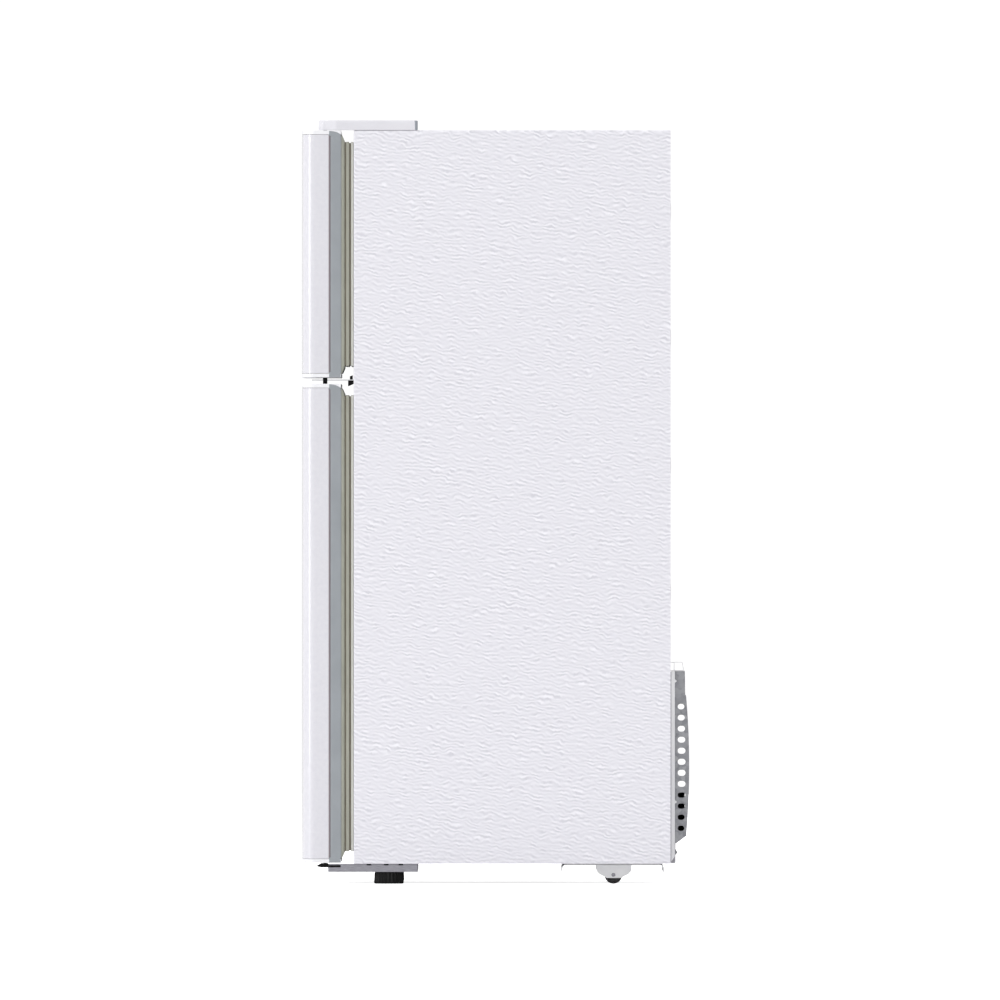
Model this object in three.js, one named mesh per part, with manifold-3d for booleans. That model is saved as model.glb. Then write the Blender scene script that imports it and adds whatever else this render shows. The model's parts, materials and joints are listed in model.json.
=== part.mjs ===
// Top-freezer refrigerator: a textured white steel cabinet with a freezer above and a fresh-food
// compartment below, two doors hinged on the right, drawers, shelves and door bins inside, and a
// compressor compartment behind a bulged, perforated cover at the bottom of the back.
// Millimetres, +Z up. The doors face -Y and hinge on the +X side. The origin is on the floor,
// at the middle of the object's overall width and depth.
import * as THREE from "three";
import { mergeVertices } from "three/addons/utils/BufferGeometryUtils.js";
import Module from "manifold-3d";

const wasm = await Module();
wasm.setup();

// ---------------------------------------------------------------- driving dimensions
const HALF_WIDTH = 755 / 2;
const OVERALL_DEPTH = 854;
const DOOR_FRONT = -OVERALL_DEPTH / 2;
const SKIN_BACK = DOOR_FRONT + 60.5; // rear edge of a door's steel skin
const DOOR_BACK = DOOR_FRONT + 88.7; // rear face of a door's inner liner
const CABINET_FRONT = DOOR_FRONT + 115.5;
const CABINET_BACK = CABINET_FRONT + 697.5;
const CABINET_BOTTOM = 44;
const CABINET_TOP = 1658;
const HINGE_COVER_TOP = 1680;

const FREEZER_DOOR = { bottom: 1114, height: 543.5 };
const FRESH_DOOR = { bottom: 46, height: 1054 };
const DOOR_CAP = 9; // height of a door's end cap
const DOOR_CORNER = 26; // radius of a door's front corners
const DOOR_BOW = 4; // how far the door's front bows out between its corners
const RIB_DEPTH = 56; // how far a door liner's ribs reach into the cabinet

const PIN_X = 355.5; // the doors' hinge axis
const PIN_Y = DOOR_FRONT + 52.8;
const PIN_RADIUS = 4;
const PIN_HOLE = 4.4;

const FREEZER = { half: 315.5, bottom: 1162, top: 1600 };
const FRESH = { half: 327.5, bottom: 92, top: 1056 };
const INSIDE_BACK = 319; // rear wall of both compartments
const FREEZER_SHELF = 1386; // undersides of the shelves
const UPPER_SHELF = 720;
const LOWER_SHELF = 470;
const CRISPER_COVER = 322;
const HUMP = { front: 100, top: 350 }; // the fresh-food liner's step over the compressor
const NOTCH = { front: 150, top: 298 }; // the compressor compartment's front wall and ceiling

const SHEET = 1.2; // steel sheet
const LINER = 2; // moulded plastic wall
const GAP = 0.3; // between pieces that rest against each other

// ---------------------------------------------------------------- finishes
const finish = (color, roughness, metalness = 0) =>
  new THREE.MeshStandardMaterial({ color, roughness, metalness });
const FINISH = {
  cabinet: finish(0xecebf1, 0.55),
  door: finish(0xf7f7fa, 0.35),
  frame: finish(0x9da1a8, 0.5),
  gasket: finish(0xa9a996, 0.7),
  liner: finish(0xf2f3f2, 0.4),
  foam: finish(0xe8dfb4, 0.95),
  galvanised: finish(0x96979b, 0.45, 0.7),
  baseSteel: finish(0xeeeef0, 0.45, 0.3),
  black: finish(0x1a1a1b, 0.5),
  clear: finish(0xdfe8ea, 0.15),
  glass: finish(0xcfe0dc, 0.08),
  aluminium: finish(0xc4c7ca, 0.35, 0.9),
  lamp: finish(0xf6f2e6, 0.3),
};

// ---------------------------------------------------------------- solids
// A closed three.js geometry as a manifold-3d solid.
function solid(geometry) {
  const bare = geometry.index ? geometry.toNonIndexed() : geometry.clone();
  bare.deleteAttribute("normal");
  bare.deleteAttribute("uv");
  const merged = mergeVertices(bare, 1e-4);
  return new wasm.Manifold(
    new wasm.Mesh({
      numProp: 3,
      vertProperties: merged.attributes.position.array,
      triVerts: new Uint32Array(merged.index.array),
    }),
  );
}

// A manifold-3d solid as a three.js geometry.
function geometryOf(made) {
  const { vertProperties, triVerts } = made.getMesh();
  const geometry = new THREE.BufferGeometry();
  geometry.setAttribute("position", new THREE.BufferAttribute(vertProperties, 3));
  geometry.setIndex(new THREE.BufferAttribute(triVerts, 1));
  geometry.computeVertexNormals();
  return geometry;
}

const join = (first, ...others) => others.reduce((all, other) => all.add(other), first);
const cut = (from, ...tools) => tools.reduce((left, tool) => left.subtract(tool), from);

// A box between two x, two y and two z places.
function block([x0, x1], [y0, y1], [z0, z1]) {
  const geometry = new THREE.BoxGeometry(x1 - x0, y1 - y0, z1 - z0);
  return solid(geometry.translate((x0 + x1) / 2, (y0 + y1) / 2, (z0 + z1) / 2));
}

// A flat outline, extruded along an axis: (y, z) along x, (x, z) along y, or (x, y) along z.
function prism(outline, axis, from, to, curveSegments = 6) {
  const shape = Array.isArray(outline)
    ? new THREE.Shape(outline.map(([a, b]) => new THREE.Vector2(a, b)))
    : outline;
  const geometry = new THREE.ExtrudeGeometry(shape, {
    depth: to - from,
    bevelEnabled: false,
    curveSegments,
  });
  if (axis === "y") geometry.translate(0, 0, -to).rotateX(Math.PI / 2);
  else geometry.translate(0, 0, from);
  if (axis === "x") geometry.rotateX(Math.PI / 2).rotateZ(Math.PI / 2);
  return solid(geometry);
}

// A round bar along an axis, centred on the two other coordinates.
function rod(axis, [a, b], radius, from, to, sides = 16) {
  const circle = new THREE.Shape().absarc(0, 0, radius, 0, 2 * Math.PI);
  const geometry = new THREE.ExtrudeGeometry(circle, {
    depth: to - from,
    bevelEnabled: false,
    curveSegments: sides / 2,
  });
  if (axis === "z") geometry.translate(a, b, from);
  if (axis === "y") geometry.translate(0, 0, -to).rotateX(Math.PI / 2).translate(a, 0, b);
  if (axis === "x") geometry.translate(0, 0, from).rotateY(Math.PI / 2).translate(0, a, b);
  return solid(geometry);
}

// A solid turned about +Z from a profile of (radius, height) points.
function turned(profile, sides = 24) {
  const points = profile.map(([radius, height]) => new THREE.Vector2(radius, height));
  return solid(new THREE.LatheGeometry(points, sides).rotateX(Math.PI / 2));
}

// A box with a wall of one thickness, open at the top.
function tray([x0, x1], [y0, y1], [z0, z1], wall) {
  return cut(
    block([x0, x1], [y0, y1], [z0, z1]),
    block([x0 + wall, x1 - wall], [y0 + wall, y1 - wall], [z0 + wall, z1 + 1]),
  );
}

const both = (half) => [-half, half];

// ---------------------------------------------------------------- scene graph
const refrigerator = new THREE.Group();

function piece(name, made, material, group = refrigerator) {
  const mesh = new THREE.Mesh(geometryOf(made), material);
  mesh.name = name;
  group.add(mesh);
  return mesh;
}

function groupAt(x, y, z, parent = refrigerator) {
  const group = new THREE.Group();
  group.position.set(x, y, z);
  parent.add(group);
  return group;
}

// ---------------------------------------------------------------- cabinet
const RETURN = 30; // the shell's front edge, folded in behind the gasket
const FACE = [CABINET_FRONT, CABINET_FRONT + SHEET]; // the plane that the gaskets close on
const PAN_SHEET = 1.6;
const COVER_RIM = { half: 352, width: 24, foot: 46, back: 395.4, bottom: 44.5, top: 467.5 };

function cabinetShell() {
  const outside = block(both(HALF_WIDTH), [CABINET_FRONT, CABINET_BACK], [CABINET_BOTTOM, CABINET_TOP]);
  const inside = block(
    both(HALF_WIDTH - SHEET),
    [CABINET_FRONT + SHEET, CABINET_BACK + 1],
    [CABINET_BOTTOM - 1, CABINET_TOP - SHEET],
  );
  const opening = block(
    both(HALF_WIDTH - RETURN),
    [CABINET_FRONT - 1, CABINET_FRONT + 2],
    [CABINET_BOTTOM - 1, CABINET_TOP - RETURN],
  );
  return cut(outside, inside, opening);
}

// The flat back, with a raised rim round the compressor compartment that its cover screws to.
function backPanel() {
  const panelFront = CABINET_BACK - 1.7;
  const { half, width, foot, back, bottom, top } = COVER_RIM;
  const sheet = block(
    both(HALF_WIDTH - 1.5),
    [panelFront, CABINET_BACK - 0.1],
    [NOTCH.top + 2, CABINET_TOP - 1.5],
  );
  const rim = cut(
    block(both(half), [panelFront, back], [bottom, top]),
    block(both(half - width), [panelFront - 1, back + 1], [bottom + foot, top - width]),
  );
  return join(sheet, rim);
}

// One bent sheet: the cabinet's floor, then up and over the compressor compartment, with a
// cheek down each side of it.
function floorPan() {
  const { front, top } = NOTCH;
  const low = CABINET_BOTTOM;
  const start = CABINET_FRONT + SHEET + GAP;
  const end = CABINET_BACK - 2;
  const outline = [
    [start, low],
    [front, low],
    [front, top],
    [end, top],
    [end, top + PAN_SHEET],
    [front - PAN_SHEET, top + PAN_SHEET],
    [front - PAN_SHEET, low + PAN_SHEET],
    [start, low + PAN_SHEET],
  ];
  const half = HALF_WIDTH - 1.5;
  const cheeks = [-1, 1].map((side) => {
    const ends = [side * (half - PAN_SHEET), side * half].sort((a, b) => a - b);
    return block(ends, [front - 1, end], [low, top + 1]);
  });
  return join(prism(outline, "x", -half, half), ...cheeks);
}

// The fresh-food compartment's side outline, from the front to the rear wall and over the hump.
function freshOutline(grow, front) {
  return [
    [front, FRESH.bottom - grow],
    [HUMP.front + grow, FRESH.bottom - grow],
    [HUMP.front + grow, HUMP.top - grow],
    [INSIDE_BACK + grow, HUMP.top - grow],
    [INSIDE_BACK + grow, FRESH.top + grow],
    [front, FRESH.top + grow],
  ];
}

function foam() {
  const skin = 1.5;
  const pocket = LINER + GAP;
  const outside = block(
    both(HALF_WIDTH - skin),
    [CABINET_FRONT + 1.6, CABINET_BACK - 2],
    [CABINET_BOTTOM + PAN_SHEET + GAP, CABINET_TOP - skin],
  );
  const notch = block(
    both(HALF_WIDTH),
    [NOTCH.front - PAN_SHEET - GAP, CABINET_BACK],
    [0, NOTCH.top + PAN_SHEET + GAP],
  );
  const freezer = block(
    both(FREEZER.half + pocket),
    [CABINET_FRONT - 1, INSIDE_BACK + pocket],
    [FREEZER.bottom - pocket, FREEZER.top + pocket],
  );
  const side = FRESH.half + pocket;
  return cut(outside, notch, freezer, prism(freshOutline(pocket, CABINET_FRONT - 1), "x", -side, side));
}

const FLANGE = HALF_WIDTH - RETURN - GAP; // half width of the liners' front flanges

// Two ledges moulded into a liner's side walls, under a shelf.
function ledges(half, [front, back], shelfBottom) {
  return [-1, 1].map((side) => {
    const ends = [side * (half - 9), side * (half + 1)].sort((a, b) => a - b);
    return block(ends, [front, back], [shelfBottom - 7, shelfBottom - GAP]);
  });
}

function freezerLiner() {
  const { half, bottom, top } = FREEZER;
  const walls = block(both(half + LINER), [CABINET_FRONT, INSIDE_BACK + LINER], [bottom - LINER, top + LINER]);
  const flange = block(both(FLANGE), FACE, [1150, CABINET_TOP - RETURN - GAP]);
  const shell = cut(join(walls, flange), block(both(half), [CABINET_FRONT - 1, INSIDE_BACK], [bottom, top]));
  return join(shell, ...ledges(half, [-185, 235], FREEZER_SHELF));
}

function freshFoodLiner() {
  const walls = prism(freshOutline(LINER, CABINET_FRONT), "x", -(FRESH.half + LINER), FRESH.half + LINER);
  const flange = block(both(FLANGE), FACE, [CABINET_BOTTOM + 2, 1068]);
  const hollow = prism(freshOutline(0, CABINET_FRONT - 1), "x", -FRESH.half, FRESH.half);
  return join(
    cut(join(walls, flange), hollow),
    ...ledges(FRESH.half, [-190, 270], UPPER_SHELF),
    ...ledges(FRESH.half, [-195, 270], LOWER_SHELF),
    ...ledges(FRESH.half, [-200, 90], CRISPER_COVER),
  );
}

piece("cabinet_shell", cabinetShell(), FINISH.cabinet);
piece("back_panel", backPanel(), FINISH.baseSteel);
piece("floor_pan", floorPan(), FINISH.galvanised);
piece("cabinet_foam", foam(), FINISH.foam);
piece("freezer_liner", freezerLiner(), FINISH.liner);
piece("fresh_food_liner", freshFoodLiner(), FINISH.liner);
piece("mullion_cover", block(both(FLANGE), FACE, [1068 + GAP, 1150 - GAP]), FINISH.cabinet);

// ---------------------------------------------------------------- hinges
// A plate outline with a round nose about the hinge pin, seen from above.
function noseOutline(left, right, back, nose, waist) {
  const shape = new THREE.Shape();
  shape.moveTo(left, back);
  shape.lineTo(right, back);
  shape.lineTo(right, PIN_Y + 24);
  shape.lineTo(PIN_X + nose, PIN_Y);
  shape.absarc(PIN_X, PIN_Y, nose, 0, -Math.PI, true);
  shape.lineTo(PIN_X - nose, PIN_Y + 49);
  shape.lineTo(left, PIN_Y + waist);
  shape.closePath();
  return shape;
}

const pin = (low, high) => rod("z", [PIN_X, PIN_Y], PIN_RADIUS, low, high, 20);

const topHinge = join(
  prism(noseOutline(300, 370, -215, 11, 84), "z", CABINET_TOP + GAP, CABINET_TOP + 4.3),
  pin(FREEZER_DOOR.bottom + FREEZER_DOOR.height - DOOR_CAP + 1, CABINET_TOP + 4),
);
piece("top_hinge", topHinge, FINISH.galvanised);

const COVER_BACK = CABINET_FRONT + 140.8;
const coverWall = 2;
const hingeCover = cut(
  prism(noseOutline(290, 376.5, COVER_BACK, 14.4, 84), "z", CABINET_TOP + GAP, HINGE_COVER_TOP),
  prism(
    noseOutline(290 + coverWall, 376.5 - coverWall, COVER_BACK - coverWall, 14.4 - coverWall, 84 + coverWall),
    "z",
    CABINET_TOP - 1,
    HINGE_COVER_TOP - coverWall,
  ),
);
piece("top_hinge_cover", hingeCover, FINISH.cabinet);

// The plate between the doors, on a stepped foot; a collar about its pin keeps the doors apart.
const MIDDLE_PLATE = [1107, 1109.6];
const COLLAR = 4.9;
const FRESH_DOOR_TOP = FRESH_DOOR.bottom + FRESH_DOOR.height;
const middleHinge = join(
  block([330, 372], [PIN_Y - 29.7, CABINET_FRONT - GAP], MIDDLE_PLATE),
  block([326, 374], [CABINET_FRONT - 12.5, CABINET_FRONT - GAP], [1095, 1108]),
  block([330, 370], [CABINET_FRONT - 8, CABINET_FRONT - 2], [1107, 1118.8]),
  pin(FRESH_DOOR_TOP - DOOR_CAP + 1, FREEZER_DOOR.bottom + DOOR_CAP - 1),
  rod("z", [PIN_X, PIN_Y], COLLAR, FRESH_DOOR_TOP + GAP, FREEZER_DOOR.bottom - GAP, 20),
);
piece("middle_hinge", middleHinge, FINISH.black);

// A channel under the cabinet's front corner that the levelling foot screws into.
const BRACKET = { front: -368, back: -170, bottom: 26, top: 42.9, inner: 300, outer: 372, wall: 3 };
const FOOT = { x: 336, y: -234, radius: 32.7, shoulder: 31.5, stud: 6 };

function footBracket(side) {
  const { front, back, bottom, top, inner, outer, wall } = BRACKET;
  const ends = side > 0 ? [inner, outer] : [-outer, -inner];
  const channel = cut(
    block(ends, [front, back], [bottom, top]),
    block([ends[0] + wall, ends[1] - wall], [front + wall, back - wall], [bottom + wall, top + 1]),
  );
  return cut(channel, rod("z", [side * FOOT.x, FOOT.y], FOOT.stud + 0.5, bottom - 1, top, 16));
}

// The lower hinge: the right-hand channel, with a nose under the door that carries the pin.
const nose = prism(
  [
    [-394, 38.5],
    [-383, 33.5],
    [-338, 33.5],
    [-338, 42.9],
    [-366, 44.4],
    [-383, 44.4],
  ],
  "x",
  341,
  370,
);
const bottomHinge = join(footBracket(1), nose, pin(34, FRESH_DOOR.bottom + DOOR_CAP - 1));
piece("bottom_hinge", bottomHinge, FINISH.galvanised);
piece("left_foot_bracket", footBracket(-1), FINISH.galvanised);

// ---------------------------------------------------------------- feet and rollers
function levellingFoot() {
  const { radius, shoulder, stud } = FOOT;
  const top = BRACKET.bottom - GAP;
  return turned([
    [0, 0],
    [radius - 2, 0],
    [radius, 2],
    [shoulder, top],
    [stud, top],
    [stud, BRACKET.top - 0.6],
    [0, BRACKET.top - 0.6],
  ]);
}

const ROLLER = { x: 330, y: 260, radius: 19.5, half: 11, stub: 4, reach: 16 };

function roller() {
  const { radius, half, stub, reach } = ROLLER;
  return turned([
    [0, -reach],
    [stub, -reach],
    [stub, -half],
    [radius - 1.5, -half],
    [radius, -half + 1.5],
    [radius, half - 1.5],
    [radius - 1.5, half],
    [stub, half],
    [stub, reach],
    [0, reach],
  ], 28);
}

for (const [name, side] of [
  ["left", -1],
  ["right", 1],
]) {
  piece(`${name}_foot`, levellingFoot(), FINISH.black).position.set(side * FOOT.x, FOOT.y, 0);
  const wheel = piece(`${name}_roller`, roller(), FINISH.black);
  wheel.position.set(side * ROLLER.x, ROLLER.y, ROLLER.radius);
  wheel.rotation.y = Math.PI / 2;
}

// ---------------------------------------------------------------- compressor compartment
// The base: a sheet whose front and rear edges curl down, with two cheeks at each roller.
function compressorBase() {
  const top = 43;
  const low = 25;
  const thick = 2;
  const front = 146;
  const back = 371.6;
  const curl = 10;
  const sheet = new THREE.Shape();
  sheet.moveTo(front, low);
  sheet.lineTo(front, top - curl);
  sheet.absarc(front + curl, top - curl, curl, Math.PI, Math.PI / 2, true);
  sheet.lineTo(back - curl, top);
  sheet.absarc(back - curl, top - curl, curl, Math.PI / 2, 0, true);
  sheet.lineTo(back, low);
  sheet.lineTo(back - thick, low);
  sheet.absarc(back - curl, top - curl, curl - thick, 0, Math.PI / 2, false);
  sheet.lineTo(front + curl, top - thick);
  sheet.absarc(front + curl, top - curl, curl - thick, Math.PI / 2, Math.PI, false);
  sheet.lineTo(front + thick, low);
  sheet.closePath();
  const cheek = [
    [218, top - 1],
    [222, 40],
    [223, 27],
    [231, 20],
    [246, 12.5],
    [276, 12.5],
    [293, 21],
    [299, 27],
    [300, 40],
    [304, top - 1],
  ];
  const inner = ROLLER.x - ROLLER.half - 3.5;
  const outer = ROLLER.x + ROLLER.half + 1.5;
  const cheeks = [-outer - 2, -inner - 2, inner, outer].map((x) => prism(cheek, "x", x, x + 2));
  const whole = join(prism(sheet, "x", -358, 358, 4), ...cheeks);
  return cut(whole, rod("x", [ROLLER.y, ROLLER.radius], ROLLER.stub + 0.3, -370, 370, 12));
}
piece("compressor_base", compressorBase(), FINISH.baseSteel);

const DECK = 43 + GAP; // what stands on the base starts here

function compressor() {
  const shell = turned([
    [0, 62],
    [40, 62],
    [52, 88],
    [72, 106],
    [90, 124],
    [90, 196],
    [80, 212],
    [50, 222],
    [0, 226],
  ]);
  const plate = block(both(104), [-62, 42], [DECK, 47]);
  return join(shell, plate, block(both(34), both(34), [46, 64]));
}
piece("compressor", compressor(), FINISH.black).position.set(190, 327, 0);

// A row of thin fins, threaded on round tubes that run along x.
function finnedCoil([x0, x1], [y0, y1], [z0, z1], fins, tubes, reach) {
  const pitch = (x1 - x0 - 2) / (fins - 1);
  const plates = Array.from({ length: fins }, (_, i) =>
    block([x0 + i * pitch, x0 + i * pitch + 2], [y0, y1], [z0, z1]),
  );
  const rods = Array.from({ length: tubes }, (_, i) => {
    const z = z0 + ((i + 0.5) * (z1 - z0)) / tubes;
    return rod("x", [(y0 + y1) / 2, z], 5, x0 - reach, x1 + reach, 6);
  });
  return join(plates[0], ...plates.slice(1), ...rods);
}
piece("condenser", finnedCoil([-300, -140], [180, 350], [88, 200], 8, 3, 6), FINISH.black);
piece("drain_tray", tray([-310, -128], [165, 362], [DECK, 72], 2), FINISH.black);

// A fan of pitched blades on a hub, turning about +Z of its own frame.
function fan(radius, hub, depth, blades) {
  const centre = rod("z", [0, 0], hub, -depth / 2, depth / 2, 16);
  const made = Array.from({ length: blades }, (_, i) => {
    const blade = new THREE.BoxGeometry(radius - hub + 4, radius * 0.55, 1.6);
    blade.rotateX(0.45).translate((radius + hub) / 2 - 2, 0, 0);
    return solid(blade.rotateZ((i * 2 * Math.PI) / blades));
  });
  return join(centre, ...made);
}

const CONDENSER_FAN = { x: -68, y: 262, z: 128 };
const condenserMotor = join(
  rod("x", [CONDENSER_FAN.y, CONDENSER_FAN.z], 25, -118, CONDENSER_FAN.x - 14, 16),
  block([-112, -98], [CONDENSER_FAN.y - 16, CONDENSER_FAN.y + 16], [DECK, CONDENSER_FAN.z]),
);
piece("condenser_fan_motor", condenserMotor, FINISH.galvanised);
const condenserFan = piece("condenser_fan", fan(64, 14, 22, 5), FINISH.black);
condenserFan.position.set(CONDENSER_FAN.x, CONDENSER_FAN.y, CONDENSER_FAN.z);
condenserFan.rotation.y = Math.PI / 2;

// The rear cover's side outline: a shallow head, a bowed belly and a slanted foot.
const REAR_COVER = {
  half: 330,
  rim: COVER_RIM.back + GAP,
  wall: 1.5,
  belly: OVERALL_DEPTH / 2,
  bottom: 89,
  top: COVER_RIM.top,
};

function rearCoverOutline(inset, front) {
  const { bottom, top } = REAR_COVER;
  const belly = 2 * (REAR_COVER.belly - inset) - 420.2 + inset;
  const shape = new THREE.Shape();
  shape.moveTo(front, top - inset);
  shape.lineTo(417.5 - inset, top - inset);
  shape.lineTo(418.2 - inset, 416 - inset);
  shape.lineTo(420.2 - inset, 414 - inset);
  shape.quadraticCurveTo(belly, 265, 420.2 - inset, 105 + inset);
  shape.lineTo(398 - inset, bottom + inset);
  shape.lineTo(front, bottom + inset);
  shape.closePath();
  return shape;
}

// A row of vents down each side: slots with round corners that widen with the belly.
const VENTS = { count: 12, pitch: 24.4, top: 390.3, front: 401, half: 6.8, corner: 4.5 };

function vent(i) {
  const { count, pitch, top, front, half, corner } = VENTS;
  const middle = top - pitch * i;
  const back = front + 15.8 + 4.2 * Math.sin((Math.PI * i) / (count - 1));
  const shape = new THREE.Shape();
  shape.moveTo(front + corner, middle - half);
  shape.absarc(back - corner, middle - half + corner, corner, -Math.PI / 2, 0);
  shape.absarc(back - corner, middle + half - corner, corner, 0, Math.PI / 2);
  shape.absarc(front + corner, middle + half - corner, corner, Math.PI / 2, Math.PI);
  shape.absarc(front + corner, middle - half + corner, corner, Math.PI, 1.5 * Math.PI);
  return prism(shape, "x", -REAR_COVER.half - 1, REAR_COVER.half + 1, 4);
}

function rearCover() {
  const { half, rim, wall } = REAR_COVER;
  const shell = cut(
    prism(rearCoverOutline(0, rim), "x", -half, half, 10),
    prism(rearCoverOutline(wall, rim - 1), "x", -(half - wall), half - wall, 10),
  );
  return cut(shell, ...Array.from({ length: VENTS.count }, (_, i) => vent(i)));
}
piece("rear_cover", rearCover(), FINISH.galvanised);

// An open loop on the back panel, above the cover, that guides a cable.
const clip = cut(
  join(
    prism([[393.2, 488], [412, 488], [416, 468], [393.2, 468]], "x", 292, 340),
    block([306, 326], [CABINET_BACK + GAP, 394], [468, 488]),
  ),
  prism([[394.6, 486.6], [410.8, 486.6], [414.2, 469.4], [394.6, 469.4]], "x", 280, 350),
);
piece("cable_guide", clip, FINISH.baseSteel);

// ---------------------------------------------------------------- freezer compartment
piece("evaporator", finnedCoil([-250, 250], [268, 314], [1180, 1400], 12, 4, 10), FINISH.aluminium);

const EVAPORATOR_FAN = { z: 1500, y: 267, radius: 50 };

// The freezer's rear wall: a panel with a barred fan opening, a duct ring and the motor's arms.
function evaporatorCover() {
  const { z, radius } = EVAPORATOR_FAN;
  const face = [246, 249];
  const panel = cut(
    block(both(313), face, [1164, 1598]),
    rod("y", [0, z], radius + 6, face[0] - 1, face[1] + 1, 24),
  );
  const ring = cut(
    rod("y", [0, z], radius + 10, face[1] - 1, 288, 24),
    rod("y", [0, z], radius + 6, face[0], 290, 24),
  );
  const bars = [-32, 0, 32].map((dz) => {
    const reach = Math.sqrt((radius + 8) ** 2 - dz ** 2);
    return block(both(reach), face, [z + dz - 2, z + dz + 2]);
  });
  const arms = block(both(radius + 8), [284, 288], [z - 5, z + 5]);
  const motor = rod("y", [0, z], 22, 281, 308, 16);
  return join(panel, ring, ...bars, arms, motor);
}
piece("evaporator_cover", evaporatorCover(), FINISH.liner);
const evaporatorFan = piece("evaporator_fan", fan(EVAPORATOR_FAN.radius, 12, 18, 5), FINISH.black);
evaporatorFan.position.set(0, EVAPORATOR_FAN.y, EVAPORATOR_FAN.z);
evaporatorFan.rotation.x = Math.PI / 2;

// A shelf plate with a raised front edge.
function shelf(half, front, back, z, thick, lip) {
  return join(
    block(both(half), [front, back], [z, z + thick]),
    block(both(half), [front, front + 8], [z, z + thick + lip]),
  );
}
piece("freezer_shelf", shelf(FREEZER.half - 1, -190, 240, FREEZER_SHELF, 6, 5), FINISH.glass);
const trayFloor = FREEZER_SHELF + 6 + GAP;
piece("ice_tray", tray([-292, -172], [-150, 130], [trayFloor, trayFloor + 38], 2.5), FINISH.liner);

// A drawer in its own frame: its front at y = 0, resting on z = 0, with a lip to pull it by.
function drawer(width, depth, height, wall = 2.5) {
  const box = tray(both(width / 2), [0, depth], [0, height], wall);
  const lip = block(both(width / 2 - 30), [-10, 0.5], [height - 24, height - 6]);
  return join(box, lip);
}
const iceBin = piece("ice_bin", drawer(240, 350, 124), FINISH.clear);
iceBin.position.set(-182, -200, FREEZER.bottom + 2 * GAP);

// ---------------------------------------------------------------- fresh-food compartment
const HOUSING = { left: -200, right: 316, front: -262, back: -100, bottom: 1018, top: 1055.6 };
const DIAL = { x: -60, z: 1037, radius: 15 };
const SWITCH = { x: 298, z: 1042, radius: 5 };
const LENS = { left: 40, right: 140, front: -215, back: -155 };

function controlHousing() {
  const { left, right, front, back, bottom, top } = HOUSING;
  const wall = 2.5;
  const box = tray([left, right], [front, back], [bottom, top], wall);
  const window = block(
    [LENS.left - 1, LENS.right + 1],
    [LENS.front - 1, LENS.back + 1],
    [bottom - 1, bottom + wall + 1],
  );
  return cut(
    box,
    window,
    rod("y", [DIAL.x, DIAL.z], 4.5, front - 1, front + wall + 1, 12),
    rod("y", [SWITCH.x, SWITCH.z], SWITCH.radius + 0.4, front - 1, front + wall + 1, 16),
  );
}
piece("control_housing", controlHousing(), FINISH.liner);
const lens = block([LENS.left, LENS.right], [LENS.front, LENS.back], [HOUSING.bottom - 3, HOUSING.bottom + 2]);
piece("lamp_lens", lens, FINISH.lamp);

const dial = join(
  rod("y", [0, 0], DIAL.radius, -14, -GAP, 24),
  block([-2.5, 2.5], [-18, -13], [-13, 13]),
  rod("y", [0, 0], 4, -1, 9, 12),
);
piece("temperature_dial", dial, FINISH.frame).position.set(DIAL.x, HOUSING.front, DIAL.z);

// The plunger rests against the door's rib while the door is shut.
const plungerEnds = [DOOR_BACK + RIB_DEPTH + 0.5, HOUSING.front + 26];
const plunger = rod("y", [SWITCH.x, SWITCH.z], SWITCH.radius, ...plungerEnds, 16);
piece("light_switch", plunger, FINISH.liner);

piece("upper_shelf", shelf(FRESH.half - 2, -195, 280, UPPER_SHELF, 10, 4), FINISH.glass);
piece("crisper_cover", shelf(FRESH.half - 2, -205, HUMP.front - 3, CRISPER_COVER, 10, 4), FINISH.glass);

// The deli drawer hangs by side flanges on two rails under the lower shelf.
const DELI = { half: 280, front: -195, depth: 380, bottom: 372, height: 84 };
const rails = [-1, 1].flatMap((side) => {
  const across = (a, b) => [side * a, side * b].sort((low, high) => low - high);
  const along = [DELI.front + 4, DELI.front + DELI.depth + 30];
  const ledge = block(across(284, 298), along, [446, 449]);
  return [ledge, block(across(295, 298), along, [446, LOWER_SHELF + 1])];
});
const lowerShelf = shelf(FRESH.half - 2, -200, 280, LOWER_SHELF, 10, 4);
piece("lower_shelf", join(lowerShelf, ...rails), FINISH.glass);

const flanges = [-1, 1].map((side) => {
  const ends = [side * (DELI.half - 1), side * 293].sort((a, b) => a - b);
  return block(ends, [0, DELI.depth], [450 - DELI.bottom, 453 - DELI.bottom]);
});
const deliDrawer = piece(
  "deli_drawer",
  join(drawer(2 * DELI.half, DELI.depth, DELI.height), ...flanges),
  FINISH.clear,
);
deliDrawer.position.set(0, DELI.front, DELI.bottom);

const CRISPER = { width: 300, depth: 296, height: 206, front: -205 };
for (const [name, x] of [
  ["left", -157],
  ["right", 157],
]) {
  const group = groupAt(x, CRISPER.front, FRESH.bottom + 2 * GAP);
  piece(`${name}_crisper`, drawer(CRISPER.width, CRISPER.depth, CRISPER.height), FINISH.clear, group);
  const slide = block([-14, 14], [-7, -GAP], [-6, 6]);
  piece(`${name}_humidity_slide`, slide, FINISH.frame, group).position.z = 160;
}

// ---------------------------------------------------------------- doors
// A door's outline from above: straight sides, round front corners and a bowed front.
function doorOutline(inset, back) {
  const half = HALF_WIDTH - inset;
  const radius = DOOR_CORNER - inset;
  const shoulder = DOOR_FRONT + DOOR_BOW + inset;
  const shape = new THREE.Shape();
  shape.moveTo(-half, back);
  shape.lineTo(-half, shoulder + radius);
  shape.absarc(-half + radius, shoulder + radius, radius, Math.PI, 1.5 * Math.PI, false);
  shape.quadraticCurveTo(0, shoulder - 2 * DOOR_BOW, half - radius, shoulder);
  shape.absarc(half - radius, shoulder + radius, radius, 1.5 * Math.PI, 2 * Math.PI, false);
  shape.lineTo(half, back);
  shape.closePath();
  return shape;
}

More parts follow.
